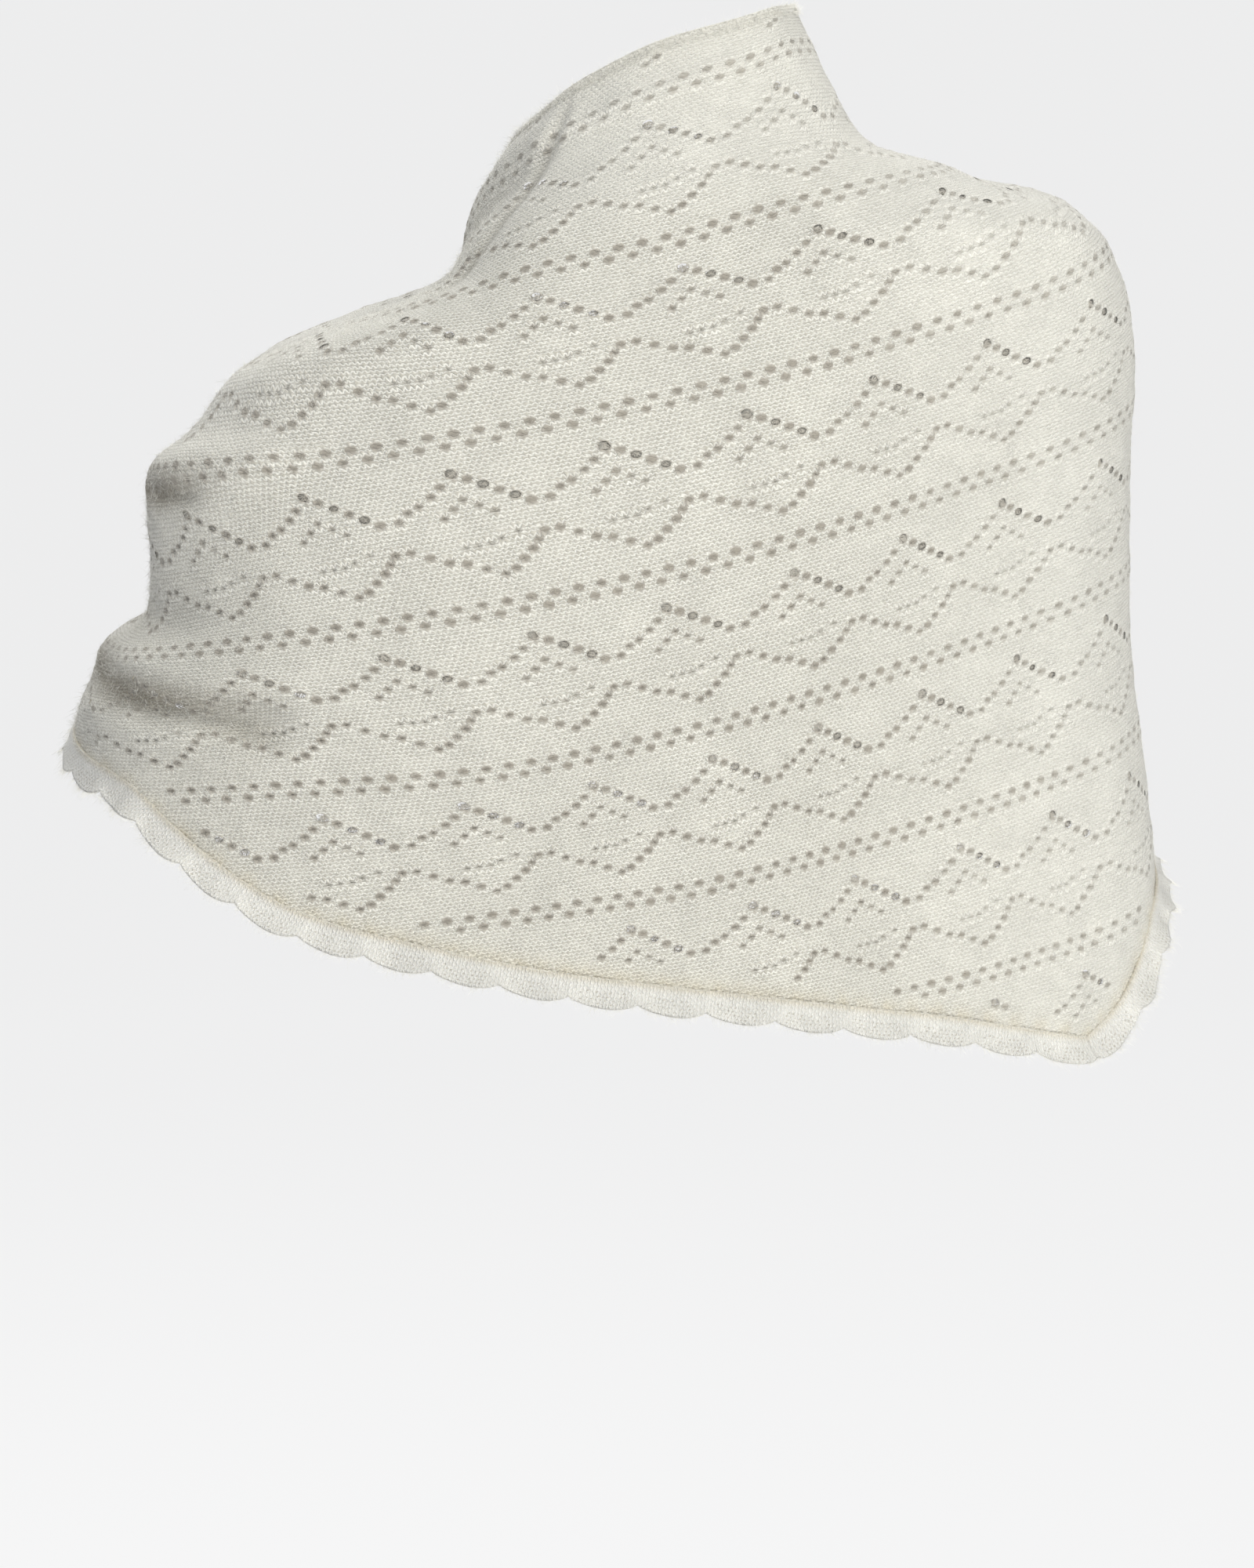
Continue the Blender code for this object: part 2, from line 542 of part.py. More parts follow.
def scalloped_edging(name, table, side, mitre, material):
    """The edging along one hem: it leaves the crease in line with the panel, turns outwards, and ends
    in rounded scallops that lift a little in turn. side is +1 on the left hem and -1 on the right."""
    azimuth, height = hem_places(table)
    line = evenly(np.column_stack([cloth_point(azimuth, height) / MM, azimuth, height]), 1.0)
    steps = np.linalg.norm(np.diff(line[:, :3], axis=0), axis=1) * MM
    lengths = np.concatenate([[0.0], np.cumsum(steps)])
    scallops = int(lengths[-1] / SCALLOP_LENGTH)
    along = np.linspace(SEAM_GAP + FACET_PLAY, lengths[-1], scallops * SCALLOP_STEPS + 1)
    azimuth = np.interp(along, lengths, line[:, 3])
    height = np.interp(along, lengths, line[:, 4])
    crease, normal = cloth_frame(azimuth, height)
    tangent = np.gradient(crease, axis=0)
    tangent = tangent / np.linalg.norm(tangent, axis=1, keepdims=True)
    down = np.cross(normal, tangent) * side
    down = down / np.linalg.norm(down, axis=1, keepdims=True)
    corner = 1 - ease(along / MITRE_LENGTH)
    down = down * (1 - corner[:, None]) + mitre * corner[:, None]

    phase = along / along[-1] * scallops
    lobe = np.abs(np.sin(math.pi * phase)) ** SCALLOP_FULLNESS
    taper = TIP_WIDTH + (1 - TIP_WIDTH) * ease((along[-1] - along) / TIP_TAPER)
    width = (EDGING_WIDTH + SCALLOP_DEPTH * lobe) * taper
    calm = next(row for row in (dict(zip(CALM_COLUMNS, values)) for values in CALM) if row["side"] == side)
    lively = 1 - calm["strength"] * ease((side * azimuth - calm["from_azimuth"]) / calm["over"])
    flare = FLARE_START + (FLARE_END - FLARE_START) * lively
    rows = []
    reach = np.zeros(len(along))
    lift = np.zeros(len(along))
    for k in range(EDGING_STEPS + 1):
        share = k / EDGING_STEPS
        turn = FLARE_START + (flare - FLARE_START) * share
        if k:
            reach = reach + width / EDGING_STEPS * np.cos(turn)
            lift = lift + width / EDGING_STEPS * np.sin(turn)
        wave = EDGING_WAVE * lively * share ** 2 * np.sin(2 * math.pi * phase + WAVE_SHIFT)
        out_by = (SEAM_GAP + FACET_PLAY + reach)[:, None]
        rows.append(crease + down * out_by + normal * (lift + wave)[:, None])
    grid = np.stack(rows, axis=1)
    across = np.gradient(grid, axis=1)
    length = np.gradient(grid, axis=0)
    out = np.cross(length, across)
    out = out / np.linalg.norm(out, axis=-1, keepdims=True)
    out = out * np.sign(np.einsum("ijk,ik->ij", out, normal))[..., None]
    columns = EDGING_STEPS + 1
    triangles = []
    for i in range(len(along) - 1):
        for k in range(EDGING_STEPS):
            a, b = i * columns + k, i * columns + k + 1
            c, d = a + columns, b + columns
            triangles += [(a, b, d), (a, d, c)]
    points, normals = grid.reshape(-1, 3), out.reshape(-1, 3)
    wall_of(name, points, normals, facing_out(points, normals, triangles), material)


def corner_direction():
    """Where both edgings run out at the point: below it, along the figure, and long enough to meet."""
    ends = []
    for table, side in ((LEFT_HEM, 1), (RIGHT_HEM, -1)):
        azimuth, height = hem_places(table)
        crease, normal = cloth_frame(azimuth[4:12], height[4:12])
        tangent = crease[-1] - crease[0]
        down = np.cross(normal[0], tangent / np.linalg.norm(tangent)) * side
        ends.append(down / np.linalg.norm(down))
    middle = ends[0] + ends[1]
    middle = middle / np.linalg.norm(middle)
    return middle / max(0.6, float(middle @ ends[0]))


for old in list(bpy.data.objects):
    bpy.data.objects.remove(old)

right_side, left_side = SIDE_AZIMUTHS
left_side_depth = hem_flat(LEFT_HEM, left_side, left_side + 1)[0, 1]
right_side_depth = hem_flat(RIGHT_HEM, right_side, right_side - 1)[0, 1]
left_end = LEFT_HEM[-1][0]
right_end = RIGHT_HEM[-1][0]

STRETCHES = {
    "collar": (row_flat(0.0, right_side, left_side),
               column_flat(left_side, 0.0, COLLAR_DEPTH),
               row_flat(COLLAR_DEPTH, left_side, right_side),
               column_flat(right_side, COLLAR_DEPTH, 0.0)),
    "back_panel": (row_flat(COLLAR_DEPTH, right_side, left_side),
                   column_flat(left_side, COLLAR_DEPTH, left_side_depth),
                   hem_flat(LEFT_HEM, left_side, LEFT_HEM[0][0]),
                   hem_flat(RIGHT_HEM, RIGHT_HEM[0][0], right_side),
                   column_flat(right_side, right_side_depth, COLLAR_DEPTH)),
    "left_wing": (row_flat(0.0, left_side, left_end),
                  hem_flat(LEFT_HEM, left_end, left_side),
                  column_flat(left_side, left_side_depth, 0.0)),
    "right_wing": (row_flat(0.0, right_end, right_side),
                   column_flat(right_side, 0.0, right_side_depth),
                   hem_flat(RIGHT_HEM, right_side, right_end)),
}

eyelets_cut = 0
for stretch, lines in STRETCHES.items():
    wool = cloth_material(stretch + "_wool", CLOTH_COLOUR)
    eyelets_cut += stretch_of_panel(stretch, loop_of(*lines), wool)
assert eyelets_cut <= EYELET_LIMIT, "too many eyelets for the cut wall"

mitre_direction = corner_direction()
for edging, table, side in (("left_edging", LEFT_HEM, 1), ("right_edging", RIGHT_HEM, -1)):
    wool = cloth_material(edging + "_wool", EDGING_COLOUR)
    scalloped_edging(edging, table, side, mitre_direction, wool)
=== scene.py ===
"""A lace shawl of fine mohair and wool, worn round the shoulders and seen from behind."""
import math

import bpy
import numpy as np
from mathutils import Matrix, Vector


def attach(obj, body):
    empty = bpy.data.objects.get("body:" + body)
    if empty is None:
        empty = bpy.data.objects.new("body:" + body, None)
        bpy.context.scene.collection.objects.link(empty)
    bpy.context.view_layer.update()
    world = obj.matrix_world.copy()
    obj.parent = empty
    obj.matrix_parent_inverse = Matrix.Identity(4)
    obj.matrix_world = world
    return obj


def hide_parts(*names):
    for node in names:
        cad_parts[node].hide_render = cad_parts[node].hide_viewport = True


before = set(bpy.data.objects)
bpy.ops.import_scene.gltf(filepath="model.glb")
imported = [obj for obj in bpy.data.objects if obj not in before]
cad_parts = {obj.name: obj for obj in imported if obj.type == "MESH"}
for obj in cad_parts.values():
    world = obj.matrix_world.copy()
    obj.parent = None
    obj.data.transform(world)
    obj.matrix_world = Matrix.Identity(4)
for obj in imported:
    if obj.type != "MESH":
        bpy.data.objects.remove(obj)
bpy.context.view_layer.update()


# ---------------------------------------------------------------------------------------------------
# The knitted panel. One wide, shallow piece of lace in ivory mohair, knitted in rows parallel to its
# long top edge. It stands round the neck, hangs over the back and crosses on the chest, and nothing
# is sewn to it. Each stretch of it stands for one node of the frame.

# A place on the figure is an azimuth, 0 at the back and positive to the wearer's left, and a height in
# planes that rise to the wearer's right. A place on the flat cloth is u along its rows, 0 at the point's
# column and positive to the wearer's left, and t, the depth below the top edge.
MM = 0.001
TILT = 0.158                     # slope at which the shoulders rise to the wearer's right
LAYER_STEP = 5.0                 # mm that each crossed front moves, the left in and the right out
LEFT_CROSSING = (98, 42)         # azimuth where the left front starts to move in, and over how much
RIGHT_CROSSING = (-125, 45)      # the same for the right front, which moves out
MM_PER_DEGREE = 2.6              # cloth to a degree round the figure, for folds and shade

# The plain figure under the cloth, one row for each section, in mm.
SECTION_COLUMNS = ("height", "left", "right", "back", "front", "squareness")
SECTIONS = (
    (-420, 288, 246, 150, 160, 2.5),
    (-300, 290, 233, 147, 156, 2.5),
    (-230, 290, 224, 144, 153, 2.5),
    (-180, 284, 218, 141, 150, 2.5),
    (-140, 278, 217, 138, 147, 2.5),
    (-122, 266.5, 217, 136, 144, 2.5),
    (-113, 262, 217, 135, 143, 2.5),
    (-104, 250.5, 217, 134, 142, 2.5),
    (-95, 246.5, 217, 133, 141, 2.5),
    (-75, 242.5, 218, 130, 137, 2.5),
    (-60, 243.5, 218, 127, 134, 2.5),
    (-45, 240.5, 217, 123, 130, 2.5),
    (-30, 229, 215, 119, 125, 2.5),
    (-10, 214, 209, 112, 117, 2.6),
    (5, 201, 202, 107, 110, 2.8),
    (12, 184, 195, 104, 106, 3.0),
    (20, 138, 184, 100, 101, 3.3),
    (30, 104, 160, 96, 96, 3.5),
    (38, 98, 142, 92, 91, 3.3),
    (48, 94, 127, 88, 86, 3.0),
    (60, 88, 97, 83, 80, 2.6),
    (72, 80, 86, 78, 75, 2.3),
    (90, 71, 77, 71, 68, 2.1),
    (120, 60, 63, 62, 60, 2.0),
    (145, 52, 53, 55, 54, 2.0),
    (170, 46, 44, 48, 50, 2.0),
)
SECTION_ROUNDING = 4             # mm over which one section passes into the next
FIGURE_MARGIN = 20               # mm that the figure goes on above and below its sections
FIGURE_NUDGE, CLOTH_NUDGE = (0.4, 1.0), (0.6, 1.5)    # degrees and mm that find a surface's slope

# How each knitted row lies: its depth, then its height on the figure at these azimuths.
ROW_AZIMUTHS = (-250, -210, -180, -150, -120, -90, -60, -30, 0, 30, 60, 90, 120, 150, 190)
ROWS = (
    (0, -106, -50, -10, 38, 95, 132, 132, 129, 125.5, 116, 101.5, 84, 26, -27, -128),
    (20, -126, -73, -32, 16, 75, 112, 115, 110, 106, 95.5, 80, 63, 14.5, -49, -150),
    (91.5, -215, -158, -115, -56, 6, 48, 48.5, 45, 38, 35, 25, 16, -38, -110, -215),
    (163, -300, -235, -185, -125, -68, 3, -12, -24, -29, -32, -34, -40, -90, -165, -270),
    (234.5, -370, -300, -250, -195, -138, -71, -83, -96.5, -104.8, -108.5, -110.5, -115, -155, -225, -330),
    (306, -430, -365, -315, -262, -208, -146, -154, -167.5, -177, -181, -175.5, -173, -218, -288, -390),
    (377.5, -500, -430, -380, -330, -280, -223, -229, -239.5, -246.5, -246.5, -248, -245, -285, -352, -450),
    (449, -570, -500, -450, -400, -350, -303, -308, -311, -314, -316, -318, -316, -350, -415, -515),
    (520.5, -640, -570, -520, -470, -420, -374, -378, -380, -383, -386, -388, -386, -418, -480, -580),
)

# Where the middle of each repeat of the lace lies: its depth, then the azimuth of each repeat. The
# stitches are eased in towards the point, which hangs on the wearer's right. Beyond these repeats
# the knitting lies at its own gauge.
REPEAT_NUMBERS = (-2, -1, 0, 1, 2, 3, 4)
REPEAT_LENGTH, REPEAT_MIDDLE = 64.5 * MM, 6 / 24
REPEAT_AZIMUTHS = (
    (0, -111, -59.5, 1, 53.5, 96.5, 116.4, 130.2),
    (44.4, -97.1, -51.4, -3.6, 40, 75.8, 101.6, 116.3),
    (80, -77.1, -43.8, -7.3, 30.8, 60.9, 87.4, 101),
    (115.9, -62, -39.5, -12, 23, 48.5, 68.7, 87.8),
    (187.4, -57, -42, -22, 5, 32.5, 52.5, 67),
    (258.9, -56, -42.5, -27, -5.5, 17.5, 39.5, 56),
    (330.4, -57, -44, -29, -12.5, 8, 28, 46),
    (401.9, -61, -48.5, -34, -19, 1.5, 22, 40),
    (473.4, -64, -52, -39, -25, -5, 15, 34),
)

# Where both hems lie on the figure, from the point outwards.
HEM_COLUMNS = ("azimuth", "height")
LEFT_HEM = ((-61, -354), (-41, -325), (-16, -302.5), (2, -289.5), (20, -276), (42, -251.5), (52, -235),
            (60, -211), (65.5, -190), (71, -170), (78, -159), (88, -149), (100, -143), (120, -151),
            (150, -180), (172, -170), (186, -118))
RIGHT_HEM = ((-61, -354), (-66, -345), (-71, -330), (-77, -310), (-90, -297), (-120, -277),
             (-150, -252), (-180, -230), (-210, -195), (-232, -140), (-243, -96.5))

# Soft folds: a line on the figure, with the height and half-width of the swelling there, in mm.
FOLD_FADE = 0.35                 # share of its length over which a fold dies away beyond each end
FOLD_COLUMNS = ("azimuth_a", "height_a", "azimuth_b", "height_b", "rise", "half_width")
FOLDS = (
    (66, -35, 98, -38, 7.5, 13),
    (73, -46, 84, -44, -4.0, 5),
    (74, -102, 112, -98, -4.0, 12),
    (62, -130, 96, -113, 4.5, 9),
    (59, -148, 80, -123, -6.0, 8),
    (78, -136, 66, -153, 2.0, 8),
    (-40, 115, 36, 91, 2.0, 6),
    (57, 40, 43, 90, -3.0, 7),
    (50, 92, 118, 52, 4.5, 12),
    (64, 66, 120, 20, -3.5, 10),
    (-53, -262, -59, -306, -4.0, 22),
    (-100, 20, -150, -60, 4.0, 16),
    (-104, -20, -160, -120, -4.0, 15),
    (-112, -90, -190, -200, 4.5, 18),
    (-170, -60, -225, -120, 3.5, 14),
    (104, 24, 140, -80, 4.0, 15),
    (112, -60, 150, -150, -3.5, 15),
)


def smooth(x, xs, ys):
    """Monotone cubic through a table's points, level beyond its ends; ys may hold a row for each x."""
    xs, ys = np.asarray(xs, float), np.asarray(ys, float)
    x = np.clip(np.asarray(x, float), xs[0], xs[-1])
    step = np.diff(xs)
    rise = np.diff(ys, axis=-1) / step
    before, after = rise[..., :-1], rise[..., 1:]
    weight_a, weight_b = 2 * step[1:] + step[:-1], step[1:] + 2 * step[:-1]
    same_way = before * after > 0
    mean = (weight_a + weight_b) / (weight_a / np.where(same_way, before, 1.0)
                                    + weight_b / np.where(same_way, after, 1.0))
    slope = np.concatenate([rise[..., :1], np.where(same_way, mean, 0.0), rise[..., -1:]], axis=-1)
    i = np.clip(np.searchsorted(xs, x, side="right") - 1, 0, len(xs) - 2)
    s = (x - xs[i]) / step[i]
    at = (i,) if ys.ndim == 1 else (np.arange(len(ys)), i)
    after_at = (i + 1,) if ys.ndim == 1 else (np.arange(len(ys)), i + 1)
    return ((1 + 2 * s) * (1 - s) ** 2 * ys[at] + s * (1 - s) ** 2 * step[i] * slope[at]
            + s * s * (3 - 2 * s) * ys[after_at] + s * s * (s - 1) * step[i] * slope[after_at])


def ease(x):
    """0 below 0, 1 above 1, and smooth between."""
    x = np.clip(x, 0.0, 1.0)
    return x * x * (3 - 2 * x)


def section_profiles():
    """The figure's reaches at each millimetre of height, each section passing softly into the next."""
    heights = np.arange(SECTIONS[0][0] - FIGURE_MARGIN, SECTIONS[-1][0] + FIGURE_MARGIN + 1.0)
    table = np.array(SECTIONS)
    reach = 3 * SECTION_ROUNDING
    bell = np.exp(-0.5 * (np.arange(-reach, reach + 1) / SECTION_ROUNDING) ** 2)
    bell = bell / bell.sum()
    return heights, [np.convolve(np.pad(smooth(heights, table[:, 0], table[:, k]), reach, mode="edge"),
                                 bell, mode="valid") for k in range(1, len(SECTION_COLUMNS))]


SECTION_HEIGHTS, SECTION_PROFILES = section_profiles()


def figure_point(azimuth, height):
    """A superellipse at each height, cut in planes that rise to the wearer's right."""
    left, right, back, front, squareness = (np.interp(height, SECTION_HEIGHTS, profile)
                                            for profile in SECTION_PROFILES)
    side, face = np.sin(np.radians(azimuth)), np.cos(np.radians(azimuth))
    reach_side = np.where(side >= 0, left, right)
    reach_face = np.where(face >= 0, back, front)
    radius = (np.abs(side / reach_side) ** squareness
              + np.abs(face / reach_face) ** squareness) ** (-1 / squareness)
    x, y = radius * side, radius * face
    return np.stack([x, y, height - TILT * x], axis=-1) * MM


def along_and_across(azimuth, height, line):
    """Length of a straight line on the figure, and how far along it and to its side a place lies, in mm."""
    dx = (line["azimuth_b"] - line["azimuth_a"]) * MM_PER_DEGREE
    dy = line["height_b"] - line["height_a"]
    px, py = (azimuth - line["azimuth_a"]) * MM_PER_DEGREE, height - line["height_a"]
    length = math.hypot(dx, dy)
    return length, (px * dx + py * dy) / length, (px * dy - py * dx) / length


def swelling(azimuth, height):
    """mm that the cloth stands off the figure: the crossing of its fronts plus each fold, which is a
    bell across its line and dies away beyond its ends."""
    rise = LAYER_STEP * (ease((RIGHT_CROSSING[0] - azimuth) / RIGHT_CROSSING[1])
                         - ease((azimuth - LEFT_CROSSING[0]) / LEFT_CROSSING[1]))
    for row in FOLDS:
        fold = dict(zip(FOLD_COLUMNS, row))
        length, along, across = along_and_across(azimuth, height, fold)
        fading = FOLD_FADE * length
        fade = ease(1 + along / fading) * ease(1 + (length - along) / fading)
        rise = rise + fold["rise"] * fade * np.exp(-(across / fold["half_width"]) ** 2)
    return rise


def unit(vectors):
    """Vectors of length one, each divided by its own length."""
    return vectors / np.maximum(np.linalg.norm(vectors, axis=-1, keepdims=True), 1e-12)


def outward_normal(point_at, azimuth, height, nudge):
    """Normal of a surface: the cross product of a step up it and a step round it, of length one."""
    round_it = point_at(azimuth + nudge[0], height) - point_at(azimuth - nudge[0], height)
    up_it = point_at(azimuth, height + nudge[1]) - point_at(azimuth, height - nudge[1])
    return unit(np.cross(up_it, round_it))


def cloth_point(azimuth, height):
    """The figure's point, moved along its normal by the swelling."""
    off = swelling(azimuth, height)[..., None] * MM
    return figure_point(azimuth, height) + outward_normal(figure_point, azimuth, height, FIGURE_NUDGE) * off


def cloth_frame(azimuth, height):
    """Point of the folded cloth, and its outward normal there."""
    return cloth_point(azimuth, height), outward_normal(cloth_point, azimuth, height, CLOTH_NUDGE)


def running_lengths(points):
    """Length from the start of each row of points to each of its points."""
    steps = np.linalg.norm(np.diff(points, axis=1), axis=2)
    return np.pad(np.cumsum(steps, axis=1), ((0, 0), (1, 0)))


BELOW_ROWS = 5                   # mm that the figure is measured below the lowest row


def row_heights(azimuths, depths):
    """Height of the row of each depth at each azimuth. Between the table's rows the others are spaced
    evenly along the figure, not by height, so that they don't gape on the level shoulders."""
    table = np.array(ROWS)
    known = np.stack([smooth(azimuths, ROW_AZIMUTHS, row) for row in table[:, 1:]], axis=-1)
    heights = np.arange(table[:, 1:].min() - BELOW_ROWS, SECTION_HEIGHTS[-1] + 1)
    up_figure = figure_point(azimuths[:, None], heights[None, :])
    rows = []
    for known_heights, length in zip(known, running_lengths(up_figure)):
        known_lengths = np.interp(known_heights, heights, length)
        rows.append(np.interp(smooth(depths, table[:, 0], known_lengths), length, heights))
    return np.stack(rows, axis=-1)


# Where each place of the flat cloth lies on the figure.
DEPTH_STEP, AZIMUTH_STEP, COLUMN_STEP = 5.0, 0.5, 5.0 * MM
FLAT_REACH = (-1.2, 1.3)         # u beyond both ends of the cloth
depths = np.arange(0.0, ROWS[-1][0] + 1, DEPTH_STEP)
azimuths = np.arange(ROW_AZIMUTHS[0], ROW_AZIMUTHS[-1] + AZIMUTH_STEP, AZIMUTH_STEP)
columns = np.arange(*FLAT_REACH, COLUMN_STEP)
HEIGHT_AT = row_heights(azimuths, depths)
row_lengths = running_lengths(figure_point(azimuths[None, :], HEIGHT_AT))
repeat_table = np.array(REPEAT_AZIMUTHS)
repeat_middles = (np.array(REPEAT_NUMBERS) - REPEAT_MIDDLE) * REPEAT_LENGTH


def along_row(depth, length):
    """u along a row of some depth, from the length of that row at each azimuth: smoothly through the
    repeats of the lace, and beyond them as long as the row itself."""
    known = [np.interp(depth, repeat_table[:, 0], repeat) for repeat in repeat_table[:, 1:].T]
    at = np.interp(known, azimuths, length)
    return (smooth(length, at, repeat_middles) + np.minimum(length - at[0], 0)
            + np.maximum(length - at[-1], 0))


U_AT = np.stack([along_row(depth, length) for depth, length in zip(depths, row_lengths)])
AZIMUTH_AT = np.stack([np.interp(columns, u_row, azimuths) for u_row in U_AT])
HAIR = 0.001                     # of a cell, kept inside a table's last row and column


def blend(table, row, column):
    """Value of a table at fractional rows and columns: bilinear between its four neighbours."""
    row = np.clip(row, 0, table.shape[0] - 1 - HAIR)
    column = np.clip(column, 0, table.shape[1] - 1 - HAIR)
    i, j = row.astype(int), column.astype(int)
    a, b = row - i, column - j
    return ((1 - a) * ((1 - b) * table[i, j] + b * table[i, j + 1])
            + a * ((1 - b) * table[i + 1, j] + b * table[i + 1, j + 1]))


def place(u, t):
    """Azimuth and height of the flat cloth's place u, t."""
    row = t / MM / DEPTH_STEP
    azimuth = blend(AZIMUTH_AT, row, (u - columns[0]) / COLUMN_STEP)
    return azimuth, blend(HEIGHT_AT, row, (azimuth - azimuths[0]) / AZIMUTH_STEP)


def hem_line(table, samples=900):
    """A hem's azimuths and heights from the point outwards, and its places u, t on the flat cloth, found
    between the two rows that pass above and below each of its places."""
    hem = dict(zip(HEM_COLUMNS, np.array(table, float).T))
    order = np.argsort(hem["azimuth"])
    azimuth = np.linspace(hem["azimuth"][0], hem["azimuth"][-1], samples)
    height = smooth(azimuth, hem["azimuth"][order], hem["height"][order])
    every_row = np.arange(len(depths), dtype=float)
    rows = blend(HEIGHT_AT, *np.broadcast_arrays(every_row[None, :],
                                                 (azimuth[:, None] - azimuths[0]) / AZIMUTH_STEP))
    below = np.clip(np.argmax(rows < height[:, None], axis=1), 1, len(depths) - 1)
    each = np.arange(samples)
    share = (rows[each, below - 1] - height) / (rows[each, below - 1] - rows[each, below])
    row = below - 1 + np.clip(share, 0, 1)
    u = blend(U_AT, row, (azimuth - azimuths[0]) / AZIMUTH_STEP)
    return azimuth, height, np.stack([u, row * DEPTH_STEP * MM], axis=-1)


# Shade painted into the cloth's colour where hollows lie deepest: a line on the figure from its darkest end,
# and how far to each side.
SHADE_FADE = 26.0                # mm over which the shade begins
SHADE_HOLD, SHADE_FALL = 1.6, 1.1    # it holds for half of its line, and is half as strong at its end
SHADE_COLUMNS = ("azimuth_a", "height_a", "azimuth_b", "height_b", "half_width", "strength")
SHADES = (
    (88, -47, 72, -43, 7.5, 1.00),
    (92, -36, 86, -47, 6, 0.60),
    (84, -122, 62, -139, 7, 0.95),
    (64, -139, 56, -158, 6, 0.45),
    (104, -100, 78, -103, 9, 0.30),
    (57, 40, 43, 90, 6, 0.30),
    (120, 22, 66, 64, 8, 0.30),
)


def painted_hollow_shade(azimuth, height):
    """How deep the painted shade lies at each place, 0 to 1: a bell across each line, weaker towards its far
    end, and where two meet the deeper one."""
    shade = np.zeros(azimuth.shape)
    for row in SHADES:
        line = dict(zip(SHADE_COLUMNS, row))
        length, along, across = along_and_across(azimuth, height, line)
        fade = ease(1 + along / SHADE_FADE) * ease(SHADE_HOLD - SHADE_FALL * along / length)
        shade = np.maximum(shade, fade * np.exp(-(across / line["half_width"]) ** 2) * line["strength"])
    return shade


# The grid of the knitting: half a stitch by one knitted row, so that every eyelet sits on a corner.
BAND, REPEAT = 44, 48            # knitted rows and half stitches in a repeat of the lace
BAND_DEPTH = 71.5 * MM
STITCH, KNIT_ROW = REPEAT_LENGTH / (REPEAT / 2), BAND_DEPTH / BAND
FIRST_ROW = 0.5 * MM             # from the top edge to the grid's first row
FIRST_LINE = 12                  # rows from there to the first double line of eyelets
GRID_MARGIN = 6                  # rows and columns that the grid goes on beyond the hems
COLLAR_DEPTH = 84.0 * MM         # down to here the cloth over the back is the collar stretch
SIDE_AZIMUTH = 88.0              # from here to each side it is a front

# The lace, as straight runs of eyelets: stitch and pattern row of the first, the step to the next,
# how many, their half length and half depth in mm, and how dark their painted shade is. Stitches count to the
# wearer's right.
RUN_COLUMNS = ("stitch", "row", "stitch_step", "row_step", "count", "half_length", "half_depth", "dark")
LACE_RUNS = (
    (1, 5, 2, 1, 6, 2.44, 1.60, 1.0),
    (0, 0, 4, 0, 6, 2.44, 1.60, 1.0),
    (2, 1.5, 4, 0, 6, 2.44, 1.60, 0.95),
    (14, 10, 2.1, -0.85, 5, 2.05, 1.40, 0.9),
    (25, 5.7, 0, 0, 1, 1.95, 1.40, 0.8),
    (1, 8.5, -2, 1, 3, 1.95, 1.40, 0.8),
    (3, 9.5, 2, 1, 2, 1.95, 1.40, 0.7),
    (4, 18, 2, -1, 3, 2.15, 1.45, 1.0),
    (9.5, 15, 1.5, -1, 2, 2.00, 1.40, 0.9),
    (13.5, 14.1, 2.5, 0.87, 6, 2.15, 1.45, 0.9),
    (-2.2, 14.5, 2.1, -0.1, 4, 1.70, 1.25, 0.5),
    (7, 13.5, 0, 0, 1, 1.70, 1.25, 0.5),
)
OPEN_RUN, OPEN_EVERY = 0, 2      # the run whose every other eyelet is cut through
EYELET_BORDER = 4                # cells of plain knitting kept round each eyelet, to any edge
EYELET_SIZES, EYELET_SHADES, EYELET_SEED = (0.82, 1.10), (0.8, 1.0), 11    # how uneven they are
RIM, DIMPLE = 0.35 * MM, 1.2 * MM    # that an eyelet's threads stand up, and that its middle sinks
OUTER_RIM = 0.3                  # share of that height one ring of corners further out
PUSH = 0.30 * MM                 # that the outer ring is pushed away
MOST_SPREAD = 1.1 * MM           # the furthest that any corner moves
RIM_TONE = {(1, 0): 0.95, (0, 1): 0.72, (1, 1): 0.58}    # share of the painted shade: beside, above and across

left_hem, right_hem = hem_line(LEFT_HEM), hem_line(RIGHT_HEM)
hem_flat = np.concatenate([left_hem[2][::-1], right_hem[2]])
first_column = int(math.floor(hem_flat[:, 0].min() / (STITCH / 2))) - GRID_MARGIN
last_column = int(math.ceil(hem_flat[:, 0].max() / (STITCH / 2))) + GRID_MARGIN
last_row = int(math.ceil(hem_flat[:, 1].max() / KNIT_ROW)) + GRID_MARGIN
column_index = np.arange(first_column, last_column + 1)
knit_u = np.broadcast_to(column_index * STITCH / 2, (last_row + 1, len(column_index))).copy()
knit_t = np.broadcast_to(FIRST_ROW + np.arange(last_row + 1)[:, None] * KNIT_ROW, knit_u.shape).copy()


def inside_hems(us, ts):
    """Which places of a grid lie on the cloth: along each row, those past an odd number of crossings
    with the outline that both hems and the top edge close."""
    start, end = hem_flat, np.roll(hem_flat, -1, axis=0)
    crosses = (start[None, :, 1] > ts[:, None]) != (end[None, :, 1] > ts[:, None])
    fall = np.where(end[:, 1] == start[:, 1], 1.0, end[:, 1] - start[:, 1])
    where = start[:, 0] + (ts[:, None] - start[:, 1]) / fall * (end[:, 0] - start[:, 0])
    where = np.sort(np.where(crosses, where, np.inf), axis=1)[:, :int(crosses.sum(axis=1).max())]
    return (where[:, :, None] < us[None, None, :]).sum(axis=1) % 2 == 1


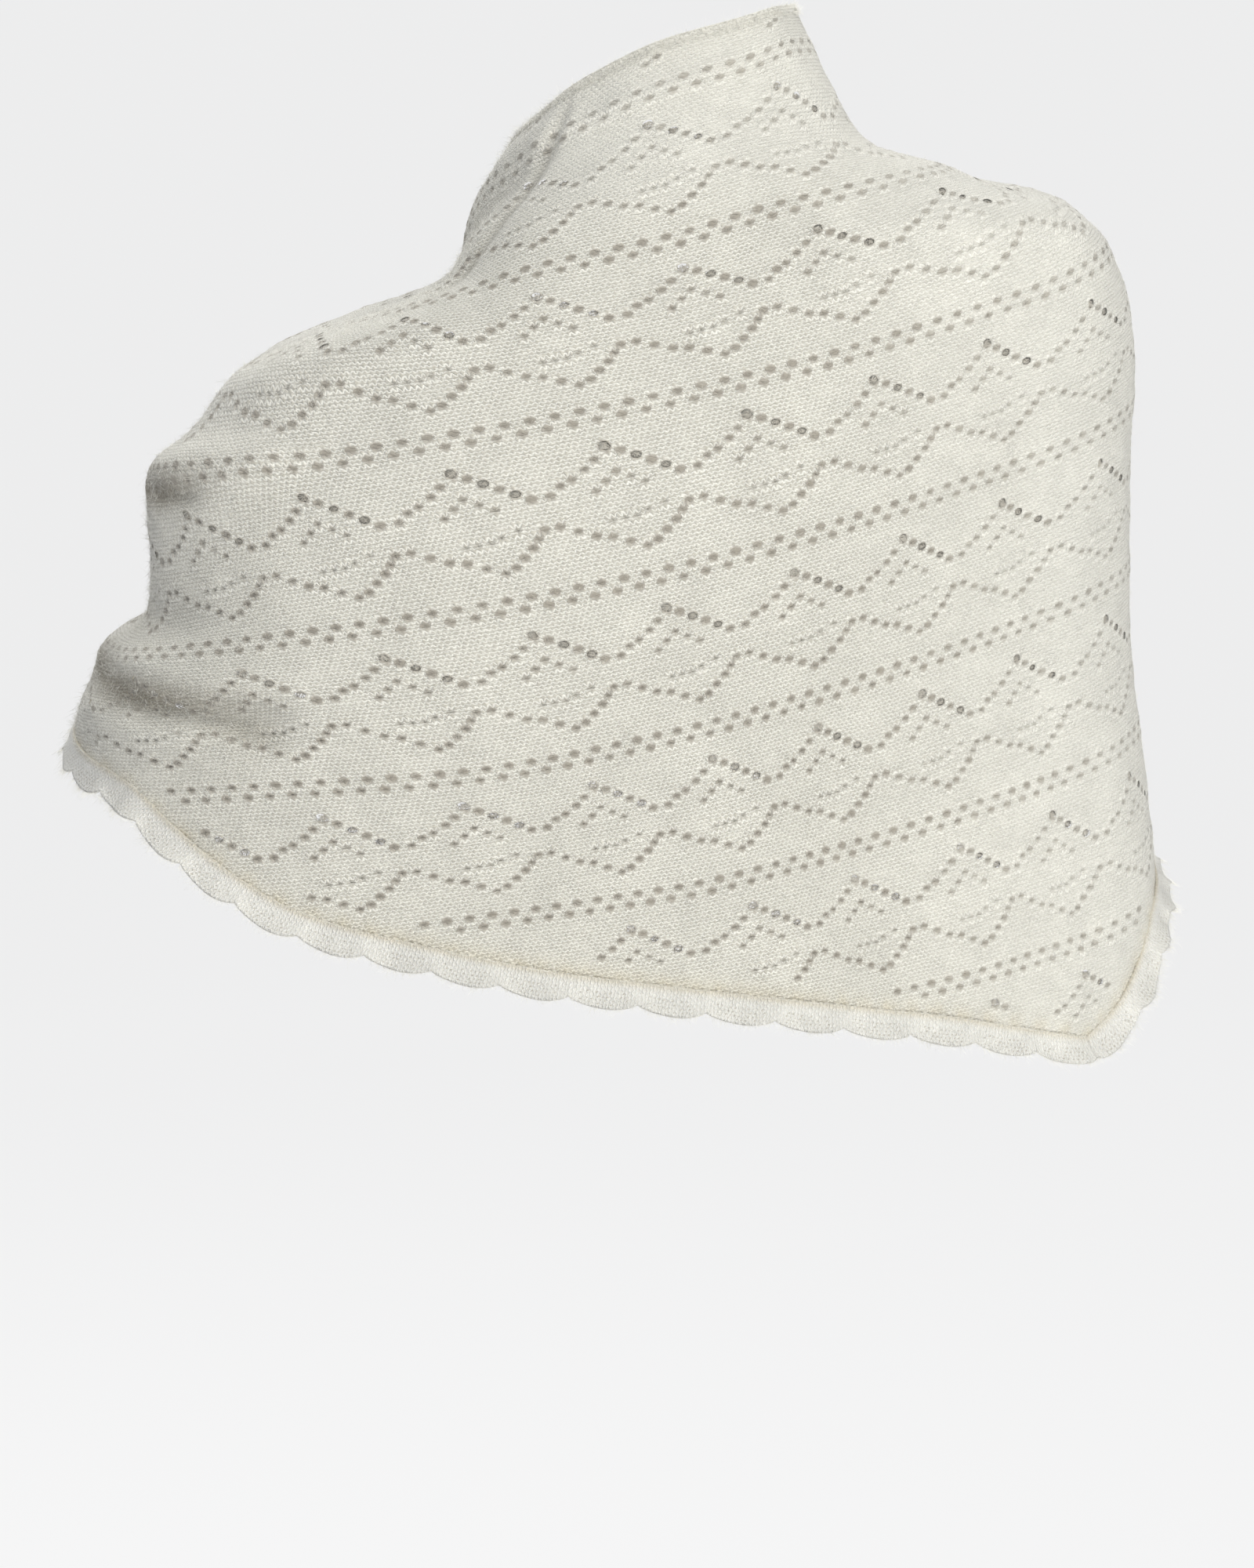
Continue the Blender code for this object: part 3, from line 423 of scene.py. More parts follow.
cell_u = (knit_u[:-1, :-1] + knit_u[1:, 1:]) / 2
cell_t = (knit_t[:-1, :-1] + knit_t[1:, 1:]) / 2
knitted = inside_hems(cell_u[0], cell_t[:, 0])


def shrunk(mask, by):
    """The mask without any cell that is within a number of cells of its outside."""
    padded = np.pad(mask, by)
    kept = np.ones_like(mask)
    for down in range(2 * by + 1):
        for across in range(2 * by + 1):
            kept &= padded[down:down + mask.shape[0], across:across + mask.shape[1]]
    return kept


# Each eyelet spreads the eight corners round its own. The largest of each repeat take away the four
# cells between them and are open; the others sink in the middle and are darkened by painted shade.
roomy = shrunk(knitted, EYELET_BORDER)
eyelets = []
for number, row in enumerate(LACE_RUNS):
    run = dict(zip(RUN_COLUMNS, row))
    for k in range(run["count"]):
        stitch = run["stitch"] + k * run["stitch_step"]
        pattern_row = run["row"] + k * run["row_step"]
        cut = number == OPEN_RUN and k % OPEN_EVERY == 0
        for band in range(-1, last_row // BAND + 1):
            for repeat in range(first_column // REPEAT - 1, last_column // REPEAT + 2):
                i = int(round(repeat * REPEAT - 2 * stitch)) - first_column
                j = int(round(FIRST_LINE + band * BAND + 2 * pattern_row))
                if 0 <= j < roomy.shape[0] and 0 <= i < roomy.shape[1] and roomy[j, i]:
                    eyelets.append((i, j, run["half_length"], run["half_depth"], run["dark"], cut))
eye_i, eye_j, half_lengths, half_depths, darks, cuts = np.array(eyelets, float).T
eye_i, eye_j, eye_open = eye_i.astype(int), eye_j.astype(int), cuts > 0
rng = np.random.default_rng(EYELET_SEED)
eye_size = rng.uniform(*EYELET_SIZES, len(eyelets))
eye_dark = darks * rng.uniform(*EYELET_SHADES, len(eyelets))
spread_u, spread_t, standing, eyelet_painted_shade = (np.zeros_like(knit_u) for _ in range(4))
for dj in (-2, -1, 0, 1, 2):
    for di in (-2, -1, 0, 1, 2):
        ring, angle = max(abs(di), abs(dj)), math.atan2(dj, di)
        corner = (eye_j + dj, eye_i + di)
        if ring == 1:
            reach_u = half_lengths * MM * eye_size * math.cos(angle)
            reach_t = half_depths * MM * eye_size * math.sin(angle)
            np.add.at(spread_u, corner, reach_u - di * STITCH / 2)
            np.add.at(spread_t, corner, reach_t - dj * KNIT_ROW)
            np.add.at(standing, corner, RIM)
            np.maximum.at(eyelet_painted_shade, corner, eye_dark * RIM_TONE[abs(di), abs(dj)])
        elif ring == 2:
            np.add.at(spread_u, corner, PUSH * math.cos(angle))
            np.add.at(spread_t, corner, PUSH * math.sin(angle))
            np.add.at(standing, corner, RIM * OUTER_RIM)
standing = np.clip(standing, 0, RIM)
standing[eye_j[~eye_open], eye_i[~eye_open]] = -DIMPLE
np.maximum.at(eyelet_painted_shade, (eye_j, eye_i), eye_dark)
open_cells = np.zeros_like(knitted)
for dj in (-1, 0):
    for di in (-1, 0):
        open_cells[eye_j[eye_open] + dj, eye_i[eye_open] + di] = True
solid = knitted & ~open_cells
cloth_u = knit_u + np.clip(spread_u, -MOST_SPREAD, MOST_SPREAD)
cloth_t = knit_t + np.clip(spread_t, -MOST_SPREAD, MOST_SPREAD)

# The outermost corners lie on the top edge and on the hem.
count_round = np.zeros(knit_u.shape, int)
for dj in (0, 1):
    for di in (0, 1):
        count_round[dj:dj + knitted.shape[0], di:di + knitted.shape[1]] += knitted
edge = (count_round > 0) & (count_round < 4)
edge_j, edge_i = np.nonzero(edge)
corners = np.stack([cloth_u[edge], cloth_t[edge]], axis=-1)
gap = ((corners[:, None, :] - hem_flat[None, :, :]) ** 2).sum(axis=2)
nearest = hem_flat[np.argmin(gap, axis=1)]
on_top = edge_j == 0
cloth_u[edge_j[~on_top], edge_i[~on_top]] = nearest[~on_top, 0]
cloth_t[edge_j[~on_top], edge_i[~on_top]] = nearest[~on_top, 1]
cloth_t[0, :] = 0.0

azimuth_grid, height_grid = place(cloth_u, cloth_t)
cloth_points, cloth_normals = cloth_frame(azimuth_grid, height_grid)

# Small waves of the hand-knitted cloth: a sum of slow sines of u and t, about half a millimetre high.
WAVE_SPAN = 2.6                  # m of cloth over which the waves are counted
WAVE_COLUMNS = ("along", "down", "shift", "height")
WAVES = ((41, 7, 0.0, 0.20), (-17, 29, 1.1, 0.18), (67, -23, 2.3, 0.12), (23, 61, 0.7, 0.12),
         (113, 31, 4.0, 0.07), (-59, 97, 5.2, 0.07))
rippled = np.zeros_like(cloth_u)
for row in WAVES:
    wave = dict(zip(WAVE_COLUMNS, row))
    counted = wave["along"] * cloth_u + wave["down"] * cloth_t
    rippled += wave["height"] * np.sin(2 * math.pi * counted / WAVE_SPAN + wave["shift"])
cloth_points = cloth_points + cloth_normals * (standing + rippled * MM)[..., None]

# How far each corner is from the hem, worked out at every fourth one and blended between them.
EVERY_CORNER, EVERY_HEM_PLACE = 4, 12
sparse = np.stack([knit_u, knit_t], axis=-1)[::EVERY_CORNER, ::EVERY_CORNER]
to_hem = sparse[:, :, None, :] - hem_flat[None, None, ::EVERY_HEM_PLACE, :]
hem_distance = blend(np.sqrt(np.min((to_hem ** 2).sum(axis=-1), axis=-1)),
                     *(index / EVERY_CORNER for index in np.indices(knit_u.shape)))


# The face of the knitting, in stitches and rows. A noise is its scale, detail, roughness and stretch.
THREAD_SWING, THREAD_SHARPNESS = 0.30, 1.3    # how far a thread waves, and how fast its sides fade
DRIFT_NOISE, DRIFT = (0.8, 2, 0.5, (1, 1, 1)), 2.0
FRAY_NOISE, FRAYING = (1.7, 5, 0.72, (0.7, 1.5, 1.0)), 1.5
PATCH_NOISE, CLEAR_LEAST, CLEAR_MORE = (0.22, 3, 0.6, (1, 1, 1)), 0.35, 0.9
MIDDLE_TONE = 0.55               # towards which the threads of a blurred patch fade


def knit_group():
    """Group: the face of mohair knitting from a UV x, y in stitches and rows. Bright threads wave along
    the rows at whole values of w = y - swing cos(2 pi x) cos(pi y), so that staggered oval gaps stay
    between them; one noise moves the stitches about, one frays the threads and one blurs patches."""
    group = bpy.data.node_groups.new("knitted stitches", "ShaderNodeTree")
    sockets = group.interface
    sockets.new_socket("Stitches", in_out="INPUT", socket_type="NodeSocketVector")
    sockets.new_socket("Loose", in_out="INPUT", socket_type="NodeSocketFloat").default_value = 0.5
    sockets.new_socket("Thread", in_out="OUTPUT", socket_type="NodeSocketFloat")
    sockets.new_socket("Fray", in_out="OUTPUT", socket_type="NodeSocketFloat")
    nodes, links = group.nodes, group.links
    start, end = nodes.new("NodeGroupInput"), nodes.new("NodeGroupOutput")

    def math_node(operation, a, b=None):
        """One sum on numbers or other nodes' values."""
        node = nodes.new("ShaderNodeMath")
        node.operation = operation
        for socket, value in zip(node.inputs, (a, b)):
            if isinstance(value, (int, float)):
                socket.default_value = value
            elif value is not None:
                links.new(value, socket)
        return node.outputs[0]

    def noise_node(scale, detail, roughness, stretch):
        """A noise over the stitches."""
        mapping = nodes.new("ShaderNodeMapping")
        mapping.inputs["Scale"].default_value = stretch
        links.new(start.outputs["Stitches"], mapping.inputs["Vector"])
        noise = nodes.new("ShaderNodeTexNoise")
        for socket, value in (("Scale", scale), ("Detail", detail), ("Roughness", roughness)):
            noise.inputs[socket].default_value = value
        links.new(mapping.outputs["Vector"], noise.inputs["Vector"])
        return noise

    drift, parts = nodes.new("ShaderNodeSeparateXYZ"), nodes.new("ShaderNodeSeparateXYZ")
    links.new(noise_node(*DRIFT_NOISE).outputs["Color"], drift.inputs["Vector"])
    links.new(start.outputs["Stitches"], parts.inputs["Vector"])

    def drifted(axis):
        """A coordinate of the stitches, moved about by the drift noise."""
        moved = math_node("SUBTRACT", drift.outputs[axis], 0.5)
        moved = math_node("MULTIPLY", moved, start.outputs["Loose"])
        return math_node("ADD", parts.outputs[axis], math_node("MULTIPLY", moved, DRIFT))

    across, down = drifted("X"), drifted("Y")
    swing = math_node("MULTIPLY", math_node("COSINE", math_node("MULTIPLY", across, 2 * math.pi)),
                      math_node("COSINE", math_node("MULTIPLY", down, math.pi)))
    w = math_node("SUBTRACT", down, math_node("MULTIPLY", swing, THREAD_SWING))
    crest = math_node("ABSOLUTE", math_node("COSINE", math_node("MULTIPLY", w, math.pi)))
    thread = math_node("POWER", crest, THREAD_SHARPNESS)
    fray = noise_node(*FRAY_NOISE).outputs["Fac"]
    patch = noise_node(*PATCH_NOISE).outputs["Fac"]
    clear = math_node("ADD", math_node("MULTIPLY", patch, CLEAR_MORE), CLEAR_LEAST)
    thread = math_node("MULTIPLY", math_node("SUBTRACT", thread, MIDDLE_TONE), clear)
    thread = math_node("ADD", thread, MIDDLE_TONE)
    frayed = math_node("ADD", thread, math_node("MULTIPLY", math_node("SUBTRACT", fray, 0.5), FRAYING))
    links.new(frayed, end.inputs["Thread"])
    links.new(fray, end.inputs["Fray"])
    return group


KNIT = knit_group()


WOOL_ROUGHNESS, WOOL_SPECULAR = 0.92, 0.15
SHEEN_ROUGHNESS, SHEEN_TINT = 0.55, (1.0, 0.99, 0.95, 1.0)
LOOSENESS = 0.30                 # how far the stitches wander
CLOUD_NOISE = (38, 5, 0.65)      # scale, detail and roughness of the clouding
CLOUD_REACH, CLOUD_TONES = (0.3, 0.7), (0.93, 1.04)
RAGGED, RAGGED_REACH = 0.7, (0.48, 1.15)    # how the threads' fray tears the painted shade of an eyelet


def wool_material(name, tones_of, bump, sheen):
    """Mohair knitting: gaps and threads in two tones, hidden where the nap is brushed up, clouded, with
    painted shade:
    warmer along the hem's crease, darker in the hollows of folds and darkest in the eyelets, whose edges
    fray."""
    material = bpy.data.materials.new(name)
    material.use_nodes = True
    nodes, links = material.node_tree.nodes, material.node_tree.links
    shader = nodes["Principled BSDF"]
    for socket, value in (("Roughness", WOOL_ROUGHNESS), ("Specular IOR Level", WOOL_SPECULAR),
                          ("Sheen Weight", sheen), ("Sheen Roughness", SHEEN_ROUGHNESS),
                          ("Sheen Tint", SHEEN_TINT)):
        shader.inputs[socket].default_value = value
    uv = nodes.new("ShaderNodeUVMap")
    uv.uv_map = "stitches"
    knit = nodes.new("ShaderNodeGroup")
    knit.node_tree = KNIT
    knit.inputs["Loose"].default_value = LOOSENESS
    links.new(uv.outputs["UV"], knit.inputs["Stitches"])
    place_node = nodes.new("ShaderNodeTexCoord")
    cloud = nodes.new("ShaderNodeTexNoise")
    for socket, value in zip(("Scale", "Detail", "Roughness"), CLOUD_NOISE):
        cloud.inputs[socket].default_value = value
    links.new(place_node.outputs["Object"], cloud.inputs["Vector"])

    def ranged(value, reach, to=(0.0, 1.0), smoothly=False):
        """A value carried from one range to another, and held at its ends."""
        node = nodes.new("ShaderNodeMapRange")
        node.interpolation_type = "SMOOTHSTEP" if smoothly else "LINEAR"
        for socket, number in zip(("From Min", "From Max", "To Min", "To Max"), (*reach, *to)):
            node.inputs[socket].default_value = number
        links.new(value, node.inputs["Value"])
        return node.outputs["Result"]

    def mixed(kind, factor, a, b):
        """Colour b laid on colour a by a factor."""
        node = nodes.new("ShaderNodeMix")
        node.data_type, node.blend_type = "RGBA", kind
        for socket, value in (("Factor", factor), ("A", a), ("B", b)):
            if isinstance(value, (int, float, tuple)):
                node.inputs[socket].default_value = value
            else:
                links.new(value, node.inputs[socket])
        return node.outputs["Result"]

    def attribute(called):
        """A value that the mesh carries at each of its corners."""
        node = nodes.new("ShaderNodeAttribute")
        node.attribute_name = called
        return node.outputs["Fac"]

    threads = ranged(knit.outputs["Thread"], (0.0, 1.0))
    colour = mixed("MIX", threads, tones_of["gap"], tones_of["thread"])
    colour = mixed("MIX", attribute("nap"), colour, tones_of["nap"])
    colour = mixed("MULTIPLY", 1.0, colour, ranged(cloud.outputs["Fac"], CLOUD_REACH, CLOUD_TONES))
    # Painted shade along the crease above the edging, darker and warmer.
    colour = mixed("MULTIPLY", attribute("painted_crease_shade"), colour, tones_of["crease"])
    # Painted shade in the hollows of folds.
    colour = mixed("MULTIPLY", attribute("painted_fold_shade"), colour, tones_of["painted_fold_shade"])
    ragged = nodes.new("ShaderNodeMath")
    ragged.operation = "MULTIPLY_ADD"
    links.new(knit.outputs["Fray"], ragged.inputs[0])
    ragged.inputs[1].default_value = RAGGED
    links.new(attribute("eyelet"), ragged.inputs[2])
    torn = ranged(ragged.outputs[0], RAGGED_REACH, smoothly=True)
    # Painted shade in the eyelets, its edges torn by the threads' fray.
    colour = mixed("MIX", torn, colour, tones_of["eyelet"])
    links.new(colour, shader.inputs["Base Color"])
    relief = nodes.new("ShaderNodeBump")
    relief.inputs["Strength"].default_value = 1.0
    relief.inputs["Distance"].default_value = bump
    links.new(knit.outputs["Thread"], relief.inputs["Height"])
    links.new(relief.outputs["Normal"], shader.inputs["Normal"])
    return material


def quads_of(shape):
    """The four corners of each cell of a grid of points, counted along its rows."""
    index = np.arange(shape[0] * shape[1]).reshape(shape[:2])
    return np.stack([index[:-1, :-1], index[1:, :-1], index[1:, 1:], index[:-1, 1:]], axis=-1)


def mesh_of(name, points, faces):
    """A mesh from whole arrays: its points, and its faces, which all have the same number of corners."""
    mesh = bpy.data.meshes.new(name)
    mesh.vertices.add(len(points))
    mesh.vertices.foreach_set("co", points.ravel())
    mesh.loops.add(faces.size)
    mesh.loops.foreach_set("vertex_index", faces.ravel())
    mesh.polygons.add(len(faces))
    mesh.polygons.foreach_set("loop_start", np.arange(len(faces)) * faces.shape[1])
    mesh.update(calc_edges=True)
    return mesh


def object_of(name, mesh):
    """An object of a mesh, in the scene, riding the root as the whole shawl does."""
    piece = bpy.data.objects.new(name, mesh)
    bpy.context.scene.collection.objects.link(piece)
    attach(piece, "root")
    return piece


def knitted_piece(name, points, faces, stitches, values, material):
    """A piece of four-cornered faces, with its stitches as UV and its values as attributes. The points
    that no face uses are left out."""
    used = np.unique(faces)
    renumber = np.zeros(len(points), int)
    renumber[used] = np.arange(len(used))
    mesh = mesh_of(name, points[used], renumber[faces])
    mesh.validate()
    mesh.shade_smooth()
    loop_vertices = np.empty(len(mesh.loops), int)
    mesh.loops.foreach_get("vertex_index", loop_vertices)
    mesh.uv_layers.new(name="stitches").data.foreach_set("uv", stitches[used][loop_vertices].ravel())
    for called, value in values.items():
        mesh.attributes.new(called, "FLOAT", "POINT").data.foreach_set("value", value.ravel()[used])
    mesh.materials.append(material)
    return object_of(name, mesh)


WOOL_TONES = {
    "gap": (0.55, 0.525, 0.45, 1),
    "thread": (0.96, 0.95, 0.875, 1),
    "nap": (0.83, 0.815, 0.745, 1),
    # The last three tones are painted shade: along the crease above the edging, in the hollows of folds and
    # in the eyelets.
    "crease": (0.93, 0.88, 0.78, 1),
    "painted_fold_shade": (0.38, 0.35, 0.30, 1),
    "eyelet": (0.45, 0.415, 0.355, 1),
}
wool = wool_material("ivory_mohair", WOOL_TONES, bump=0.8 * MM, sheen=0.25)
quads = quads_of(knit_u.shape)
all_points = cloth_points.reshape(-1, 3)
all_stitches = np.stack([knit_u / STITCH, -knit_t / KNIT_ROW], axis=-1).reshape(-1, 2)

# Brushed nap hides the stitches where the cloth turns away to the wearer's right, round the neck and a
# little at the left. Each: where it starts on the figure, over how much it grows, and how strong it gets.
NAP = 0.6
NAP_RIGHT, NAP_LEFT, NAP_NECK = (20, 50, 1.0), (55, 30, 0.45), (35, 45, 0.95)
NAP_ON_EYELETS = 0.6             # share of an eyelet's painted shade that full nap would hide
HEM_SHADE_REACH = 5.5 * MM              # how far the painted shade of the crease spreads up the cloth


def brushed(place_on, nap_here):
    """Nap that grows softly from its start in degrees or mm."""
    begins, over, strength = nap_here
    return NAP * strength * ease((place_on - begins) / over)


nap = np.maximum(brushed(-azimuth_grid, NAP_RIGHT), brushed(azimuth_grid, NAP_LEFT))
nap = np.maximum(nap, brushed(height_grid, NAP_NECK))
all_values = {"painted_crease_shade": np.exp(-(hem_distance / HEM_SHADE_REACH) ** 2), "nap": nap,
              "eyelet": eyelet_painted_shade * (1 - NAP_ON_EYELETS * nap),
              "painted_fold_shade": painted_hollow_shade(azimuth_grid, height_grid)}
cell_azimuth = (azimuth_grid[:-1, :-1] + azimuth_grid[1:, 1:]) / 2
over_back = np.abs(cell_azimuth) < SIDE_AZIMUTH
STRETCHES = {
    "collar": over_back & (cell_t < COLLAR_DEPTH),
    "back_panel": over_back & (cell_t >= COLLAR_DEPTH),
    "left_wing": ~over_back & (cell_azimuth > 0),
    "right_wing": ~over_back & (cell_azimuth < 0),
}
for node, cells in STRETCHES.items():
    piece = knitted_piece("knitted_" + node, all_points, quads[solid & cells], all_stitches, all_values, wool)
    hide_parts(node)
    cells = cells & knitted


# ---------------------------------------------------------------------------------------------------
# The scalloped edging. It is knitted on along both hems in the same yarn, with its ribs across it and
# a small lattice of eyelets in each scallop, drawn in painted shade. It leaves the crease in line with the
# panel, then rolls outwards.

EDGING_WIDTH, SCALLOP_LENGTH, SCALLOP_DEPTH = 10.5 * MM, 30.0 * MM, 4.5 * MM
SCALLOP_FULLNESS = 0.7           # power of the sine that rounds each lobe: less is fuller
EDGING_WAVE, WAVE_SHIFT = 1.4 * MM, 0.6    # how far the edge waves, and by how much off the lobes
FLARE_START, FLARE_END = math.radians(8.0), math.radians(52.0)    # outward lean at crease and edge
CALM = {1: (62, 20, 0.6), -1: (92, 20, 0.5)}     # azimuth where the flare starts to die, over, strength
MITRE_LENGTH, MITRE_LEAST = 22.0 * MM, 0.6    # along the hem from the point, and what bounds its reach
MITRE_PLACES = slice(9, 27)      # of each hem line, which give its direction at the point
TIP_TAPER, TIP_WIDTH = 40.0 * MM, 0.4    # length over which the far ends narrow, and their width's share
SEAM_START = -0.6 * MM           # the edging starts just under the panel
EDGING_STEP = 1.0 * MM           # from one place along the hem to the next
EDGING_ROWS = 15                 # cells from the crease to the edge
EDGING_THICKNESS = 1.1 * MM
RIB = 1.55 * MM                  # from one rib across the edging to the next
LATTICE_ROW, LATTICE_LOBE = 7, 0.55    # the small lattice: rows from the crease, in the lobes' middles
LATTICE_SHADES, LATTICE_SEED = (0.35, 0.85), 31
EDGING_SHADE_REACH = 2.4 * MM           # how far the painted shade of the crease spreads down the edging


def mitre():
    """Where both edgings run out at the point: half way between their directions, and as much longer as
    keeps their width."""
    ends = []
    for line, side in ((left_hem, 1), (right_hem, -1)):
        crease, normal = cloth_frame(line[0][MITRE_PLACES], line[1][MITRE_PLACES])
        ends.append(unit(np.cross(normal[0], unit(crease[-1] - crease[0])) * side))
    middle = unit(ends[0] + ends[1])
    return middle / max(MITRE_LEAST, float(middle @ ends[0]))


def edging_grid(line, side):
    """Points along x across: from the crease, a strip that turns outwards step by step, as wide as its
    scallops' rounded lobes, with a wave that grows towards its edge. A lobe is a sine's height, raised
    to a power below one."""
    lengths = running_lengths(cloth_point(line[0], line[1])[None])[0]
    scallops = int(lengths[-1] / SCALLOP_LENGTH)
    count = int(lengths[-1] / EDGING_STEP) + 1
    along = np.linspace(0.0, lengths[-1], count)
    azimuth, height = np.interp(along, lengths, line[0]), np.interp(along, lengths, line[1])
    crease, normal = cloth_frame(azimuth, height)
    down = unit(np.cross(normal, unit(np.gradient(crease, axis=0))) * side)
    corner = (1 - ease(along / MITRE_LENGTH))[:, None]
    down = down * (1 - corner) + mitre() * corner
    phase = along / along[-1] * scallops
    lobe = np.abs(np.sin(math.pi * phase)) ** SCALLOP_FULLNESS
    taper = TIP_WIDTH + (1 - TIP_WIDTH) * ease((along[-1] - along) / TIP_TAPER)
    width = (EDGING_WIDTH + SCALLOP_DEPTH * lobe) * taper
    calm_from, calm_over, strength = CALM[side]
    lively = 1 - strength * ease((side * azimuth - calm_from) / calm_over)
    flare = FLARE_START + (FLARE_END - FLARE_START) * lively
    share = np.linspace(0, 1, EDGING_ROWS + 1)
    turn = FLARE_START + (flare - FLARE_START)[:, None] * share[None, :]
    step = width[:, None] / EDGING_ROWS
    reach = np.cumsum(step * np.cos(turn), axis=1) - step + SEAM_START
    lift = np.cumsum(step * np.sin(turn), axis=1) - step * np.sin(turn)
    wave = EDGING_WAVE * lively[:, None] * share ** 2 * np.sin(2 * math.pi * phase + WAVE_SHIFT)[:, None]
    points = (crease[:, None, :] + down[:, None, :] * reach[..., None]
              + normal[:, None, :] * (lift + wave)[..., None])
    distance = share[None, :] * width[:, None]
    return points, along, distance, lobe, normal


EDGING_TONES = {
    "gap": (0.84, 0.82, 0.75, 1),
    "thread": (0.98, 0.975, 0.93, 1),
    "nap": (0.90, 0.885, 0.83, 1),
    # The last three tones are painted shade: along the crease, in hollows, and in the small lattice of
    # eyelets.
    "crease": (0.90, 0.85, 0.75, 1),
    "painted_fold_shade": (0.50, 0.46, 0.41, 1),
    "eyelet": (0.56, 0.52, 0.44, 1),
}
edging_wool = wool_material("ivory_mohair_edging", EDGING_TONES, bump=0.9 * MM, sheen=0.35)
edging_pieces, edging_grids = {}, []
for node, line, side in (("left_edging", left_hem, 1), ("right_edging", right_hem, -1)):
    points, along, distance, lobe, normal = edging_grid(line, side)
    edging_grids.append((points, normal))
    along_at, across_at = np.meshgrid(np.arange(points.shape[0]), np.arange(points.shape[1]), indexing="ij")
    # A small lattice of eyelets in painted shade, of random strength, in the middles of the lobes.
    lattice = (across_at >= LATTICE_ROW) & (across_at < EDGING_ROWS - 1) & (across_at % 2 == 1)
    lattice &= (along_at + (across_at // 2) % 2) % 2 == 0
    lattice &= lobe[:, None] > LATTICE_LOBE
    patchy = np.random.default_rng(LATTICE_SEED).uniform(*LATTICE_SHADES, lattice.shape)
    cells = quads_of(points.shape).reshape(-1, 4)
    a, b, c = (points.reshape(-1, 3)[cells[:, k]] for k in (0, 1, 2))
    outwards = np.repeat(normal, EDGING_ROWS + 1, axis=0)[cells[:, 0]]
    if np.median(np.einsum("ij,ij->i", np.cross(b - a, c - a), outwards)) < 0:
        cells = cells[:, ::-1]
    # The ribs run across the edging, so its rows count along it.
    ribs = np.stack([distance / STITCH, np.broadcast_to(along[:, None] / RIB, distance.shape)], axis=-1)
    values = {"painted_crease_shade": np.exp(-(distance / EDGING_SHADE_REACH) ** 2), "eyelet": lattice * patchy,
              "painted_fold_shade": np.zeros(distance.size), "nap": np.zeros(distance.size)}
    piece = knitted_piece("knitted_" + node, points.reshape(-1, 3), cells, ribs.reshape(-1, 2), values,
                          edging_wool)
    wall = piece.modifiers.new("thickness", "SOLIDIFY")
    wall.thickness, wall.offset = EDGING_THICKNESS, 0.0
    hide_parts(node)
    edging_pieces[node] = (piece, (float(along[-1]), EDGING_WIDTH + SCALLOP_DEPTH))


# ---------------------------------------------------------------------------------------------------
# The halo. Loose mohair fibres stand out of the yarn all over, longest along the hems and at the left
# side. Each is a thin tapered thread, closed at both ends; along the hems and in the eyelets it bends.

FIBRE_RADIUS = 0.05 * MM
THINNING = 0.2                   # share of its radius that a fibre loses at its bend
ODD_WAY = np.array([0.31, 0.59, 0.74])     # a direction to measure a fibre's three sides from


def threads_mesh(name, rings, tips, way, radius, material):
    """Threads of three sides that run through rings of the radius to a tip, closed at the root, from
    whole arrays: rings holds their centres one after another, thinner towards the tip."""
    side = unit(np.cross(way, ODD_WAY))
    other = np.cross(way, side)
    corners = []
    for k, centre in enumerate(rings):
        for turn in (0.0, 2 * math.pi / 3, 4 * math.pi / 3):
            corner = side * math.cos(turn) + other * math.sin(turn)
            corners.append(centre + corner * radius * (1 - THINNING * k))
    vertices = np.stack([*corners, tips], axis=1).reshape(-1, 3)
    top = 3 * len(rings)
    triangles = [(0, 2, 1)]
    for low in range(0, top, 3):
        for k in range(3):
            n = (k + 1) % 3
            if low + 3 == top:
                triangles.append((low + k, low + n, top))
            else:
                triangles += [(low + k, low + n, low + 3 + n), (low + k, low + 3 + n, low + 3 + k)]
    faces = (np.arange(len(tips))[:, None, None] * (top + 1) + np.array(triangles)[None, :, :]).reshape(-1, 3)
    mesh = mesh_of(name, vertices, faces)
    mesh.shade_smooth()
    mesh.materials.append(material)
    piece = object_of(name, mesh)
    return piece


FIBRE_ROUGHNESS, FIBRE_SPECULAR, FIBRE_SHEEN, FIBRE_NOISE = 0.75, 0.2, 0.3, 180


def fibre_material(name, dark, light):
    """Loose mohair: two tones by a fine noise, with a soft sheen."""
    material = bpy.data.materials.new(name)
    material.use_nodes = True
    nodes, links = material.node_tree.nodes, material.node_tree.links
    shader = nodes["Principled BSDF"]
    for socket, value in (("Roughness", FIBRE_ROUGHNESS), ("Specular IOR Level", FIBRE_SPECULAR),
                          ("Sheen Weight", FIBRE_SHEEN)):
        shader.inputs[socket].default_value = value
    place_node = nodes.new("ShaderNodeTexCoord")
    noise = nodes.new("ShaderNodeTexNoise")
    noise.inputs["Scale"].default_value = FIBRE_NOISE
    links.new(place_node.outputs["Object"], noise.inputs["Vector"])
    tones = nodes.new("ShaderNodeMix")
    tones.data_type = "RGBA"
    tones.inputs["A"].default_value = dark
    tones.inputs["B"].default_value = light
    links.new(noise.outputs["Fac"], tones.inputs["Factor"])
    links.new(tones.outputs["Result"], shader.inputs["Base Color"])
    return material


HALO_TONES = ((0.84, 0.82, 0.74, 1), (0.97, 0.965, 0.92, 1))
# The fibres in the open eyelets are ivory mohair, drawn darker in painted shade.
HAZE_SHADE_TONES = ((0.42, 0.395, 0.34, 1), (0.58, 0.55, 0.485, 1))
halo_material = fibre_material("mohair_halo", *HALO_TONES)
haze_material = fibre_material("mohair_in_eyelets_painted_shade", *HAZE_SHADE_TONES)


def drawn_lengths(draw, spread, count):
    """Lengths that most often lie near the spread's middle, with few long ones: a gamma draw between a
    least and a most."""
    shape, scale, least, most = spread
    return np.clip(draw.gamma(shape, scale, count), least, most)[:, None] * MM


